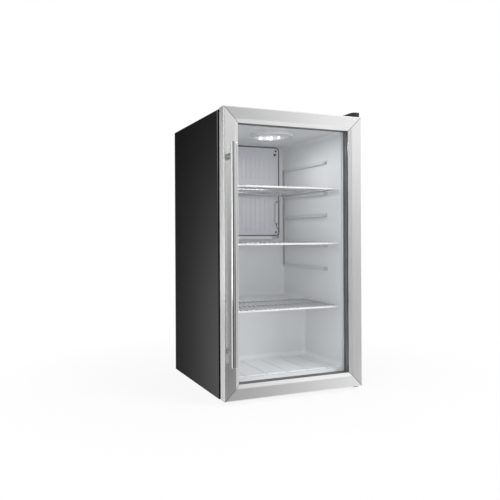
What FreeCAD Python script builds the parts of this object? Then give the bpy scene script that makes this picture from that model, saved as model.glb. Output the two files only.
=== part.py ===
import FreeCAD, Part
import os
import re
import Sketcher

# Glass-door bar fridge, in millimetres: +Z is up, +Y towards the back, +X to the right of someone facing the door.
# The origin lies on the floor, under the middle of the whole object.

doc = FreeCAD.newDocument("bar_fridge")
sheet = doc.addObject("Spreadsheet::Sheet", "Sizes")

# Driving dimensions
sizes = {
    # cabinet, outside
    "cabinet_width": 450,
    "cabinet_height": 822,
    "cabinet_depth": 428,
    "foot_height": 12,
    "sheet_gauge": 1,
    "bend_radius": 4,
    "fold_round": 0.8,
    "front_return": 38,
    # insulated walls, from the outside face to the liner's face
    "side_wall": 43,
    "top_wall": 38,
    "floor_wall": 52,
    "back_wall": 38,
    "bay_wall": 36,
    "bay_bend": 6,
    # inner liner
    "liner_gauge": 2,
    "liner_draft": 6,
    "liner_round": 12,
    "flange_inset": 24,
    "hump_height": 245,
    "hump_depth": 157,
    "ledge_depth": 4,
    "ledge_height": 9,
    "ledge_front": 85,
    "ledge_rear_gap": 12,
    "ledge_post": 6,
    "ledge_top": 702,
    "shelf_upper_level": 603,
    "ledge_middle": 532,
    "shelf_middle_level": 434,
    "ledge_lower": 359,
    "shelf_lower_level": 239,
    "floor_pad_height": 2.5,
    "floor_pad_spacing": 69,
    "floor_pad_groove": 4,
    "floor_pad_round": 5,
    "floor_pad_front": 16,
    "floor_pad_rear_gap": 11,
    "floor_pad_count": 6,
    # wire shelves
    "shelf_play": 1,
    "seat_gap": 0.3,
    "shelf_front": 2,
    "shelf_rear_gap": 19,
    "shelf_hump_gap": 3,
    "shelf_corner": 5,
    "rail_radius": 2.5,
    "wire_radius": 1.5,
    "wire_sink": 0.3,
    "wire_fit": 0.05,
    "wire_margin": 10,
    "wire_count": 22,
    # door frame
    "door_thickness": 34,
    "door_lift": 1.3,
    "seal_gap": 11.5,
    "frame_flat": 33.5,
    "frame_bevel": 10.8,
    "bevel_drop": 5,
    "frame_lip": 1.5,
    "frame_gauge": 1.5,
    "edge_round": 3,
    "glazing_pocket": 26,
    "mitre_gap": 0.3,
    "key_fit": 0.2,
    "key_leg": 45,
    # glazing and seal
    "glass_gauge": 4,
    "glass_cavity": 12,
    "glass_seal": 0.5,
    "glass_edge_gap": 2,
    "spacer_width": 11,
    "liner_groove_width": 4,
    "groove_floor": 2,
    "seal_centre": 34,
    "seal_base_width": 12,
    "seal_base_gauge": 2,
    "seal_waist_width": 6,
    "seal_head_width": 13,
    "seal_head_gauge": 5,
    "seal_fit": 0.3,
    # handle
    "handle_diameter": 18,
    "handle_standoff": 38,
    "handle_inset": 14,
    "handle_low": 102.5,
    "handle_length": 614,
    "handle_end_round": 1.5,
    "handle_fit": 0.05,
    "post_diameter": 17,
    "post_low": 139.5,
    "post_high": 681,
    # hinges
    "hinge_inset": 14,
    "hinge_depth": 20,
    "hinge_gauge": 3,
    "hinge_half": 9,
    "hinge_nose": 8.5,
    "hinge_nose_round": 8,
    "hinge_tail": 75,
    "hinge_step": 4,
    "pin_radius": 4,
    "pin_reach": 12,
    "pin_fit": 0.05,
    "bush_radius": 6,
    "bush_length": 15,
    "bush_flange": 1,
    "bush_flange_radius": 9,
    "hinge_screw_front": 30,
    "hinge_screw_rear": 58,
    "hinge_screw_radius": 2.5,
    "hinge_screw_head": 4.5,
    "hinge_screw_height": 2.5,
    "lower_hinge_width": 32,
    "cover_half": 12.5,
    "cover_wall": 2,
    "cover_nose": 15.3,
    "cover_tail": 85,
    "cover_height": 14.2,
    "cover_clear": 0.6,
    "cover_round": 14,
    "cover_corner": 4,
    "cover_top_round": 1.5,
    # feet
    "foot_radius": 15,
    "foot_taper": 3,
    "foot_side": 60,
    "foot_front": 60,
    "foot_rear": 45,
    "foot_seat": 0.3,
    "stud_radius": 4,
    "stud_length": 22,
    "stud_fit": 0.05,
    "socket_radius": 8,
    "socket_length": 25,
    # compressor bay
    "tray_gauge": 1.5,
    "tray_flange": 14,
    "tray_play": 0.2,
    "compressor_side_gap": 145,
    "can_radius": 59,
    "can_height": 138,
    "can_foot_round": 16,
    "can_dome_round": 34,
    "can_seam": 62,
    "can_seam_width": 3,
    "base_lift": 10,
    "base_gauge": 3,
    "base_margin": 15,
    "base_round": 16,
    "grommet_span": 126,
    "grommet_stance": 84,
    "grommet_radius": 10,
    "grommet_waist": 6.5,
    "grommet_hole": 7,
    "grommet_cap": 6,
    "bolt_radius": 3,
    "bolt_head_radius": 6,
    "bolt_head_height": 4,
    "relay_length": 34,
    "relay_breadth": 60,
    "relay_low": 48,
    "relay_height": 66,
    "relay_round": 6,
    "relay_fit": 0.3,
    # refrigerant pipes and condenser
    "rear_reach": 26,
    "coil_radius": 2.4,
    "coil_standoff": 14,
    "coil_top_gap": 92,
    "coil_base_gap": 41,
    "coil_runs": 11,
    "coil_inset": 53,
    "riser_inset": 35,
    "riser_drop": 39,
    "coil_wire_radius": 0.8,
    "coil_wire_count": 26,
    "coil_wire_inset": 12,
    "coil_wire_overrun": 16,
    "bracket_width": 8,
    "bracket_wire_gaps": 2,
    "bracket_play": 0.2,
    "bracket_round": 3,
    "drier_radius": 9,
    "drier_length": 84,
    "drier_neck": 14,
    "pipe_joint": 0.2,
    "suction_radius": 4,
    "suction_bend": 9,
    "suction_height": 104,
    "suction_inset": 67,
    "discharge_height": 60,
    "discharge_inset": 53,
    "discharge_rise": 145,
    "capillary_radius": 1.2,
    "capillary_drop": 30,
    "capillary_bend": 8,
    "rear_screw_inset": 12,
    "rear_screw_count": 4,
    "rear_screw_radius": 4,
    "rear_screw_height": 2,
    # evaporator and its sensor
    "evaporator_side_gap": 23,
    "evaporator_top_gap": 3,
    "evaporator_height": 319,
    "evaporator_gauge": 1.5,
    "evaporator_gap": 10.5,
    "evaporator_corner": 12,
    "evaporator_rib_spacing": 18,
    "evaporator_rib_count": 14,
    "evaporator_rib_width": 8,
    "evaporator_rib_depth": 2.5,
    "rib_lower_start": 19,
    "rib_lower_length": 130,
    "rib_upper_start": 204,
    "rib_upper_length": 80,
    "standoff_radius": 5,
    "standoff_inset": 12,
    "evaporator_screw_radius": 2,
    "evaporator_screw_head": 4,
    "evaporator_screw_height": 2.2,
    "evaporator_screw_fit": 0.2,
    "clip_inset": 11,
    "clip_rise": 45,
    "clip_length": 74,
    "clip_gauge": 0.8,
    "clip_flange": 3,
    "bulb_radius": 2.5,
    "bulb_overrun": 6,
    "bulb_fit": 0.2,
    "sensor_side": 8,
    "sensor_slant": 13,
    "gutter_inset": 33,
    "gutter_drop": 15,
    "gutter_height": 13,
    "gutter_depth": 22,
    "gutter_wall": 1.5,
    "gutter_round": 6,
    # ceiling lamp
    "lamp_shift": 80,
    "lamp_base_radius": 60,
    "lamp_base_gauge": 3,
    "lamp_board_radius": 46,
    "lamp_board_gauge": 1.6,
    "led_side": 6,
    "led_height": 1.6,
    "led_ring": 30,
    "led_count": 8,
    "lens_radius": 70,
    "lens_drop": 12,
    "lens_wall": 2,
    "lens_round": 8,
    # thermostat and cord gland at the back of the bay
    "plate_width": 112,
    "plate_height": 92,
    "plate_gauge": 1.5,
    "plate_set_back": 12,
    "knob_inset": 75,
    "knob_drop": 47,
    "knob_radius": 16,
    "knob_length": 14,
    "knob_gap": 0.5,
    "knob_round": 2,
    "knob_flute_radius": 2,
    "knob_flute_count": 18,
    "stem_radius": 3,
    "stem_length": 14,
    "stem_fit": 0.06,
    "thermostat_width": 38,
    "thermostat_height": 30,
    "thermostat_depth": 32,
    "thermostat_round": 4,
    "gland_inset": 36,
    "gland_drop": 73,
    "gland_flange": 9,
    "gland_waist": 6,
    "gland_bore": 4,
    "gland_lip": 2.5,
}

# Places worked out from the driving dimensions
places = {
    "half_width": "cabinet_width / 2",
    "handle_reach": "handle_standoff + handle_diameter / 2",
    "total_depth": "handle_reach + door_thickness + seal_gap + cabinet_depth + rear_reach",
    "door_front": "handle_reach - total_depth / 2",
    "cabinet_front": "door_front + door_thickness + seal_gap",
    "door_base": "foot_height + door_lift",
    "door_height": "cabinet_height",
    "mouth_half": "half_width - side_wall",
    "back_half": "mouth_half - liner_draft",
    "liner_back": "cabinet_depth - back_wall",
    "liner_ceiling": "cabinet_height - top_wall",
    "hump_face": "liner_back - hump_depth",
    "floor_pad_back": "hump_face - floor_pad_rear_gap",
    "ledge_back": "liner_back - ledge_rear_gap",
    "shelf_back": "liner_back - shelf_rear_gap",
    "lamp_place": "liner_back / 2 - lamp_shift",
    "bay_front": "hump_face + bay_wall",
    "bay_top": "hump_height - bay_wall",
    "bay_middle": "(bay_front + cabinet_depth) / 2",
    "inner_edge": "frame_flat + frame_bevel",
    "glass_front": "bevel_drop + frame_lip + glass_seal",
    "glass_back": "glass_front + 2 * glass_gauge + glass_cavity",
    "glass_edge": "glazing_pocket + glass_edge_gap",
    "door_liner_front": "glass_back + glass_seal",
    "liner_groove_depth": "door_thickness - door_liner_front - groove_floor",
    "key_edge": "frame_gauge + key_fit",
    "key_inside": "glazing_pocket - frame_gauge - key_fit",
    "handle_side": "half_width - handle_inset",
    "hinge_side": "half_width - hinge_inset",
    "hinge_line": "hinge_depth - door_thickness - seal_gap",
    "hinge_rise": "door_lift + bush_flange + seat_gap",
    "foot_place": "half_width - foot_side",
    "rear_foot_place": "cabinet_depth - foot_rear",
    "shelf_half": "back_half - shelf_play",
    "shelf_lower_back": "hump_face - shelf_hump_gap",
    "evaporator_face": "liner_back - evaporator_gap - evaporator_gauge",
    "evaporator_half": "back_half - evaporator_side_gap",
    "evaporator_top": "liner_ceiling - evaporator_top_gap",
    "evaporator_bottom": "evaporator_top - evaporator_height",
    "rib_lower": "evaporator_bottom + rib_lower_start",
    "rib_upper": "evaporator_bottom + rib_upper_start",
    "clip_side": "evaporator_half - clip_inset",
    "clip_bottom": "evaporator_bottom + clip_rise",
    "gutter_half": "evaporator_half - gutter_inset",
    "gutter_bottom": "evaporator_bottom - gutter_drop",
    "coil_plane": "cabinet_depth + coil_standoff",
    "coil_bottom": "bay_top + coil_base_gap",
    "coil_top": "cabinet_height - coil_top_gap",
    "coil_pitch": "(coil_top - coil_bottom) / (coil_runs - 1)",
    "coil_half": "half_width - coil_inset",
    "coil_wire_span": "2 * (coil_half - coil_wire_inset)",
    "riser_half": "half_width - riser_inset",
    "riser_bottom": "bay_top - riser_drop",
    "compressor_offset": "half_width - compressor_side_gap",
    "base_half_length": "grommet_span / 2 + base_margin",
    "base_half_breadth": "grommet_stance / 2 + base_margin",
    "plate_left": "half_width - sheet_gauge - plate_width",
    "knob_place": "half_width - knob_inset",
    "knob_height": "bay_top - knob_drop",
    "gland_place": "half_width - gland_inset",
    "gland_height": "bay_top - gland_drop",
    "plate_front": "cabinet_depth - plate_set_back",
    "plate_back": "plate_front + plate_gauge",
    "can_base": "base_lift + base_gauge",
}


def fill_sheet():
    row = 1
    for name, size in sizes.items():
        sheet.set(f"A{row}", name)
        sheet.set(f"B{row}", str(size))
        sheet.setAlias(f"B{row}", name)
        row += 1
    for name, formula in places.items():
        sheet.set(f"A{row}", name)
        sheet.set(f"B{row}", f"={formula}")
        sheet.setAlias(f"B{row}", name)
        row += 1
    doc.recompute()


fill_sheet()
names = set(sizes) | set(places)
nodes = {}
cuts = []


# An expression in the sheet's words, ready to bind to a property
def sized(words):
    return re.sub(r"[a-z_]+", lambda word: f"Sizes.{word[0]}" if word[0] in names else word[0], str(words))


def value(words):
    return float(sheet.evalExpression(sized(words)))


def vector(x, y, z):
    return FreeCAD.Vector(value(x), value(y), value(z))


def new_body(label):
    body = doc.addObject("PartDesign::Body", label)
    body.AllowCompound = True
    return body


# A body that is a sub-part of its own, in the cabinet's or the door's corner of the frame, or at a place of its own
def new_piece(label, home="cabinet", x="0", y="0", z="0"):
    piece = new_body(label)
    nodes[label] = piece
    fronts = {"cabinet": "cabinet_front", "door": "door_front"}
    bases = {"cabinet": "foot_height", "door": "door_base"}
    place(piece, x, f"{fronts[home]} + {y}", f"{bases[home]} + {z}")
    return piece


def place(thing, x, y, z):
    thing.setExpression("Placement.Base.x", sized(x))
    thing.setExpression("Placement.Base.y", sized(y))
    thing.setExpression("Placement.Base.z", sized(z))


def in_cabinet(thing):
    place(thing, "0", "cabinet_front", "foot_height")


def axis_of(body, role):
    return next(feature for feature in body.Origin.OriginFeatures if feature.Role == role)


def disc(x, y, radius):
    return ("disc", x, y, radius)


def box(left, low, right, high, corner=None):
    corners = [(left, low), (right, low), (right, high), (left, high)]
    if corner is None:
        return corners
    return [(x, y, corner) for x, y in corners]


def pin_point(sketch, index, spot, x, y):
    across = sketch.addConstraint(Sketcher.Constraint("DistanceX", -1, 1, index, 1, spot.x))
    sketch.setExpression(f"Constraints[{across}]", sized(x))
    up = sketch.addConstraint(Sketcher.Constraint("DistanceY", -1, 1, index, 1, spot.y))
    sketch.setExpression(f"Constraints[{up}]", sized(y))


def bind_radius(sketch, index, radius):
    constraint = sketch.addConstraint(Sketcher.Constraint("Radius", index, value(radius)))
    sketch.setExpression(f"Constraints[{constraint}]", sized(radius))


def draw_disc(sketch, x, y, radius):
    spot = vector(x, y, 0)
    index = sketch.addGeometry(Part.Circle(spot, FreeCAD.Vector(0, 0, 1), value(radius)), False)
    across = sketch.addConstraint(Sketcher.Constraint("DistanceX", -1, 1, index, 3, spot.x))
    sketch.setExpression(f"Constraints[{across}]", sized(x))
    up = sketch.addConstraint(Sketcher.Constraint("DistanceY", -1, 1, index, 3, spot.y))
    sketch.setExpression(f"Constraints[{up}]", sized(y))
    bind_radius(sketch, index, radius)


# A closed outline of straight runs. A corner is (x, y), or (x, y, radius) where an arc rounds it.
def draw_outline(sketch, corners):
    count = len(corners)
    spots = [vector(corner[0], corner[1], 0) for corner in corners]
    arrive = list(spots)
    leave = list(spots)
    arcs = {}
    for here in range(count):
        if len(corners[here]) == 2:
            continue
        radius = value(corners[here][2])
        back = (spots[here - 1] - spots[here]).normalize()
        ahead = (spots[(here + 1) % count] - spots[here]).normalize()
        bisector = (back + ahead).normalize()
        reach = (ahead - bisector * bisector.dot(ahead)).Length / bisector.dot(ahead)
        arrive[here] = spots[here] + back * (radius / reach)
        leave[here] = spots[here] + ahead * (radius / reach)
        depth = (radius / reach) / bisector.dot(ahead) - radius
        middle = spots[here] + bisector * depth
        arcs[here] = Part.Arc(arrive[here], middle, leave[here])
    lines = []
    for here in range(count):
        ahead = (here + 1) % count
        lines.append(sketch.addGeometry(Part.LineSegment(leave[here], arrive[ahead]), False))
    for here in range(count):
        before = lines[here - 1]
        after = lines[here]
        if here not in arcs:
            sketch.addConstraint(Sketcher.Constraint("Coincident", before, 2, after, 1))
            pin_point(sketch, after, spots[here], corners[here][0], corners[here][1])
            continue
        turn = (arrive[here] - spots[here]).cross(leave[here] - spots[here]).z
        first, last = (1, 2) if turn < 0 else (2, 1)
        arc = sketch.addGeometry(arcs[here], False)
        corner = sketch.addGeometry(Part.Point(spots[here]), True)
        sketch.addConstraint(Sketcher.Constraint("Tangent", before, 2, arc, first))
        sketch.addConstraint(Sketcher.Constraint("Tangent", arc, last, after, 1))
        sketch.addConstraint(Sketcher.Constraint("PointOnObject", corner, 1, before))
        sketch.addConstraint(Sketcher.Constraint("PointOnObject", corner, 1, after))
        pin_point(sketch, corner, spots[here], corners[here][0], corners[here][1])
        bind_radius(sketch, arc, corners[here][2])


# The XZ plane looks towards -Y, so its sketches lie and grow the other way round
facing = {"XY": 1, "XZ": -1, "YZ": 1}


def draw(body, plane, loops, start="0"):
    sketch = body.newObject("Sketcher::SketchObject", f"{body.Label}_outline")
    sketch.AttachmentSupport = [(axis_of(body, f"{plane}_Plane"), "")]
    sketch.MapMode = "FlatFace"
    sketch.setExpression("AttachmentOffset.Base.z", sized(f"{facing[plane]} * ({start})"))
    for loop in loops:
        if loop[0] == "disc":
            draw_disc(sketch, *loop[1:])
        else:
            draw_outline(sketch, loop)
    return sketch


# Grows the loops from start along the plane's own axis, +X, +Y or +Z
def pad(body, plane, loops, start, length, centred=False):
    feature = body.newObject("PartDesign::Pad", f"{body.Label}_pad")
    feature.Profile = draw(body, plane, loops, start)
    feature.Reversed = plane == "XZ"
    feature.setExpression("Length", sized(length))
    if centred:
        feature.SideType = "Symmetric"
    body.Tip = feature
    return feature


def cut(body, plane, loops, start, length, centred=False):
    feature = body.newObject("PartDesign::Pocket", f"{body.Label}_cut")
    feature.Profile = draw(body, plane, loops, start)
    feature.Reversed = plane != "XZ"
    feature.setExpression("Length", sized(length))
    if centred:
        feature.SideType = "Symmetric"
    body.Tip = feature
    cuts.append(feature)
    return feature


# A lathe form: the outline's corners are (radius, height) about the body's own Z axis
def revolve(body, corners):
    sketch = draw(body, "XZ", [corners])
    feature = body.newObject("PartDesign::Revolution", f"{body.Label}_turned")
    feature.Profile = sketch
    feature.ReferenceAxis = (sketch, ["V_Axis"])
    feature.Angle = 360
    body.Tip = feature
    return feature


def repeat(body, feature, role, span, count):
    pattern = body.newObject("PartDesign::LinearPattern", f"{body.Label}_row")
    pattern.Originals = [feature]
    pattern.Direction = (axis_of(body, role), [""])
    pattern.setExpression("Length", sized(span))
    pattern.setExpression("Occurrences", sized(count))
    body.Tip = pattern
    return pattern


def repeat_round(body, feature, count):
    pattern = body.newObject("PartDesign::PolarPattern", f"{body.Label}_ring")
    pattern.Originals = [feature]
    pattern.Axis = (axis_of(body, "Z_Axis"), [""])
    pattern.Angle = 360
    pattern.setExpression("Occurrences", sized(count))
    body.Tip = pattern
    return pattern


def mirror_sides(body, features):
    mirrored = body.newObject("PartDesign::Mirrored", f"{body.Label}_mirrored")
    mirrored.Originals = features
    mirrored.MirrorPlane = (axis_of(body, "YZ_Plane"), [""])
    body.Tip = mirrored
    return mirrored


def round_edges(body, radius, chosen):
    doc.recompute()
    base = body.Tip
    edges = [f"Edge{number}" for number, edge in enumerate(base.Shape.Edges, 1) if chosen(edge)]
    feature = body.newObject("PartDesign::Fillet", f"{body.Label}_round")
    feature.Base = (base, edges)
    feature.setExpression("Radius", sized(radius))
    body.Tip = feature
    return feature


def lies_at(edge, axis, words):
    spot = value(words)
    tolerance = 0.001
    bounds = edge.BoundBox
    low, high = {"x": (bounds.XMin, bounds.XMax), "y": (bounds.YMin, bounds.YMax), "z": (bounds.ZMin, bounds.ZMax)}[axis]
    return abs(low - spot) < tolerance and abs(high - spot) < tolerance


def runs_along(edge, axis):
    straight = edge.Curve.TypeId == "Part::GeomLine"
    direction = {"x": FreeCAD.Vector(1, 0, 0), "y": FreeCAD.Vector(0, 1, 0), "z": FreeCAD.Vector(0, 0, 1)}[axis]
    return straight and abs(edge.tangentAt(edge.FirstParameter).dot(direction)) > 0.999


# A path of straight runs with an arc of one radius at each inner point
def bent_path(points, bend):
    edges = []
    start = points[0]
    for here in range(1, len(points) - 1):
        corner = points[here]
        back = (points[here - 1] - corner).normalize()
        ahead = (points[here + 1] - corner).normalize()
        bisector = (back + ahead).normalize()
        cosine = bisector.dot(ahead)
        sine = (1 - cosine * cosine) ** 0.5
        reach = bend * cosine / sine
        arrive = corner + back * reach
        leave = corner + ahead * reach
        middle = corner + bisector * (bend / sine - bend)
        edges.append(Part.LineSegment(start, arrive).toShape())
        edges.append(Part.Arc(arrive, middle, leave).toShape())
        start = leave
    edges.append(Part.LineSegment(start, points[-1]).toShape())
    return Part.Wire(edges)


def bent_tube(label, points, radius, bend):
    path = bent_path(points, value(bend))
    heading = (points[1] - points[0]).normalize()
    ring = Part.Wire(Part.makeCircle(value(radius), points[0], heading))
    tube = doc.addObject("Part::Feature", label)
    tube.Shape = path.makePipeShell([ring], True, False)
    in_cabinet(tube)
    nodes[label] = tube
    return tube


# Painted steel wrap: one sheet bent over both sides and the top, its front edge folded inwards
def make_cabinet_wrap():
    wrap = new_piece("cabinet_wrap")
    inside = "half_width - sheet_gauge"
    roof = "cabinet_height - sheet_gauge"
    inner_bend = "bend_radius - sheet_gauge"
    bent_sheet = [
        ("-half_width", "0"),
        ("-half_width", "cabinet_height", "bend_radius"),
        ("half_width", "cabinet_height", "bend_radius"),
        ("half_width", "0"),
        (inside, "0"),
        (inside, roof, inner_bend),
        (f"-({inside})", roof, inner_bend),
        (f"-({inside})", "0"),
    ]
    pad(wrap, "XZ", [bent_sheet], "0", "cabinet_depth")
    fold = "half_width - front_return"
    folded_front = [
        ("-half_width", "0"),
        ("-half_width", "cabinet_height", "bend_radius"),
        ("half_width", "cabinet_height", "bend_radius"),
        ("half_width", "0"),
        (fold, "0"),
        (fold, "cabinet_height - front_return"),
        (f"-({fold})", "cabinet_height - front_return"),
        (f"-({fold})", "0"),
    ]
    pad(wrap, "XZ", [folded_front], "0", "sheet_gauge")
    middle = value(fold)
    height = value("cabinet_height - front_return")
    round_edges(
        wrap,
        "fold_round",
        lambda edge: lies_at(edge, "y", "0")
        and edge.Length > value("bend_radius")
        and (abs(edge.CenterOfMass.x) > middle + 1 or edge.CenterOfMass.z > height + 1),
    )


# Flat sheet that closes the back above the compressor bay
def make_rear_panel():
    panel = new_piece("rear_panel")
    inside = "half_width - sheet_gauge"
    roof = "cabinet_height - sheet_gauge"
    corner = "bend_radius - sheet_gauge"
    outline = [
        (f"-({inside})", "bay_top - sheet_gauge"),
        (inside, "bay_top - sheet_gauge"),
        (inside, roof, corner),
        (f"-({inside})", roof, corner),
    ]
    pad(panel, "XZ", [outline], "cabinet_depth - sheet_gauge", "sheet_gauge")
    screws = new_piece("rear_screws")
    lowest = "bay_top + rear_screw_inset"
    head = [
        disc(f"{side} * (half_width - rear_screw_inset)", lowest, "rear_screw_radius") for side in (-1, 1)
    ]
    row = pad(screws, "XZ", head, "cabinet_depth", "rear_screw_height")
    repeat(screws, row, "Z_Axis", "cabinet_height - bay_top - 2 * rear_screw_inset - sheet_gauge", "rear_screw_count")


# Bent sheet that lines the compressor bay under the hump
def make_bay_shroud():
    shroud = new_piece("bay_shroud")
    rear = "cabinet_depth - sheet_gauge"
    section = [
        ("bay_front - sheet_gauge", "0"),
        ("bay_front - sheet_gauge", "bay_top", "bay_bend"),
        (rear, "bay_top"),
        (rear, "bay_top - sheet_gauge"),
        ("bay_front", "bay_top - sheet_gauge", "bay_bend - sheet_gauge"),
        ("bay_front", "0"),
    ]
    pad(shroud, "YZ", [section], "0", "cabinet_width - 2 * sheet_gauge", centred=True)


# Sheet under the insulation with an upturned front edge between the wrap's folds
def make_floor_pan():
    pan = new_piece("floor_pan")
    inside = "half_width - sheet_gauge"
    fold = "half_width - front_return"
    sheet_outline = box(f"-({inside})", "sheet_gauge", inside, "bay_front - sheet_gauge")
    holes = [disc(f"{side} * foot_place", "foot_front", "stud_radius + seat_gap") for side in (-1, 1)]
    pad(pan, "XY", [sheet_outline] + holes, "0", "sheet_gauge")
    pad(pan, "XZ", [box(f"-({fold})", "0", fold, "front_return")], "0", "sheet_gauge")


# Side view of the liner's space, grown by the wall where the outside is wanted
def liner_profile(wall, front):
    return [
        (front, f"floor_wall - {wall}"),
        (f"hump_face + {wall}", f"floor_wall - {wall}"),
        (f"hump_face + {wall}", f"hump_height - {wall}"),
        (f"liner_back + {wall}", f"hump_height - {wall}"),
        (f"liner_back + {wall}", f"liner_ceiling + {wall}"),
        (front, f"liner_ceiling + {wall}"),
    ]


# The space that one wall of the liner encloses: straight in side view, narrowing towards the back for the mould
def liner_space(label, wall, front):
    space = new_body(label)
    in_cabinet(space)
    pad(space, "YZ", [liner_profile(wall, front)], "0", f"2 * (mouth_half + {wall})", centred=True)
    far = "cabinet_depth"
    narrowing = f"liner_draft * {far} / liner_back"
    wedges = []
    for side in (-1, 1):
        wedge = [
            (f"{side} * (mouth_half + {wall})", "0"),
            (f"{side} * (mouth_half + {wall} + liner_draft)", far),
            (f"{side} * (mouth_half + {wall} - {narrowing})", far),
        ]
        wedges.append(wedge)
    cut(space, "XY", wedges, "0", "cabinet_height")
    return space


# Shelf ledges with round front ends, their rear posts, and the raised pads of the floor
def make_liner_relief():
    relief = new_body("liner_relief")
    in_cabinet(relief)
    levels = ("ledge_top", "shelf_upper_level", "ledge_middle", "shelf_middle_level", "ledge_lower", "shelf_lower_level")
    ledges = []
    for level in levels:
        nose = "0.48 * ledge_height"
        low = f"{level} - ledge_height"
        ledge = [("ledge_front", low, nose), ("ledge_back", low), ("ledge_back", level), ("ledge_front", level, nose)]
        ledges.append(ledge)
    inner_face = "back_half - ledge_depth"
    thickness = "ledge_depth + liner_draft + 2 * liner_gauge"
    rows = pad(relief, "YZ", ledges, inner_face, thickness)
    post = box("ledge_back", "ledge_lower - ledge_height", "ledge_back + ledge_post", "ledge_top")
    posts = pad(relief, "YZ", [post], inner_face, thickness)
    mirror_sides(relief, [rows, posts])
    first = "-(floor_pad_count - 1) * floor_pad_spacing / 2"
    half_pad = "(floor_pad_spacing - floor_pad_groove) / 2"
    floor_pad = box(
        f"{first} - {half_pad}", "floor_pad_front", f"{first} + {half_pad}", "floor_pad_back", "floor_pad_round"
    )
    depth = "liner_gauge / 2"
    one = pad(relief, "XY", [floor_pad], f"floor_wall - {depth}", f"floor_pad_height + {depth}")
    repeat(relief, one, "X_Axis", "(floor_pad_count - 1) * floor_pad_spacing", "floor_pad_count")
    return relief


# One thermoformed tub: drafted walls, hump over the compressor, ledges, floor pads and a front flange
def make_inner_liner():
    outside = liner_space("liner_outside", "liner_gauge", "sheet_gauge")
    space = liner_space("liner_inside", "0", "0")
    round_edges(space, "liner_round", lambda edge: edge.BoundBox.YMax > value("sheet_gauge") and not touches_mouth(edge))
    flange = new_body("liner_flange")
    in_cabinet(flange)
    half = "half_width - flange_inset"
    seam = "liner_gauge / 2"
    ring = [
        box(f"-({half})", "flange_inset", half, "cabinet_height - flange_inset"),
        box(
            f"-(mouth_half + {seam})",
            f"floor_wall - {seam}",
            f"mouth_half + {seam}",
            f"liner_ceiling + {seam}",
        ),
    ]
    pad(flange, "XZ", ring, "sheet_gauge", "liner_gauge")
    shell = doc.addObject("Part::Cut", "liner_shell")
    shell.Base = outside
    shell.Tool = space
    relief = doc.addObject("Part::Common", "liner_relief_trimmed")
    relief.Base = make_liner_relief()
    relief.Tool = outside
    liner = doc.addObject("Part::MultiFuse", "inner_liner")
    liner.Shapes = [shell, flange, relief]
    nodes["inner_liner"] = liner
    make_insulation(outside)


# True for the edges round the open front, which stay sharp
def touches_mouth(edge):
    return lies_at(edge, "y", "0")


# Foam between wrap, liner and bay, with holes for the foot sockets
def make_insulation(liner_outside):
    block = new_body("foam_block")
    in_cabinet(block)
    front = "sheet_gauge + liner_gauge"
    rear = "cabinet_depth - sheet_gauge"
    roof = "cabinet_height - sheet_gauge"
    section = [
        (front, "sheet_gauge"),
        ("bay_front - sheet_gauge", "sheet_gauge"),
        ("bay_front - sheet_gauge", "bay_top"),
        (rear, "bay_top"),
        (rear, roof),
        (front, roof),
    ]
    pad(block, "YZ", [section], "0", "cabinet_width - 2 * sheet_gauge", centred=True)
    sockets = [disc(f"{side} * foot_place", "foot_front", "socket_radius") for side in (-1, 1)]
    cut(block, "XY", sockets, "sheet_gauge", "socket_length")
    round_edges(block, "bend_radius - sheet_gauge", lambda edge: lies_at(edge, "z", roof) and runs_along(edge, "y"))
    foam = doc.addObject("Part::Cut", "insulation")
    foam.Base = block
    foam.Tool = liner_outside
    nodes["insulation"] = foam


# Welded wire shelf: a round rail bent into a frame, cross rails under it, and wires laid across the top
def make_shelf(label, level, back, cross_rails):
    height = f"{level} + rail_radius + seat_gap"
    shelf = new_piece(label, z=height)
    side = "shelf_half - rail_radius"
    front = "shelf_front + rail_radius"
    rear = f"{back} - rail_radius"
    route = draw(shelf, "XY", [box(f"-({side})", front, side, rear, "shelf_corner")])
    section = draw(shelf, "YZ", [disc(front, "0", "rail_radius")])
    frame = shelf.newObject("PartDesign::AdditivePipe", f"{label}_frame")
    frame.Profile = section
    frame.Spine = (route, [])
    shelf.Tip = frame
    rails = []
    for number in range(1, cross_rails + 1):
        share = number / (cross_rails + 1)
        rails.append(disc(f"{front} + ({back} - shelf_front - 2 * rail_radius) * {share}", "0", "rail_radius * 0.9"))
    pad(shelf, "YZ", rails, "0", f"2 * ({side})", centred=True)
    span = f"2 * ({side} - wire_margin)"
    wire = disc(f"-({span}) / 2", "rail_radius + wire_radius - wire_sink", "wire_radius")
    one = pad(shelf, "XZ", [wire], "shelf_front + rail_radius / 2", f"{back} - shelf_front - rail_radius")
    repeat(shelf, one, "X_Axis", span, "wire_count")


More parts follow.
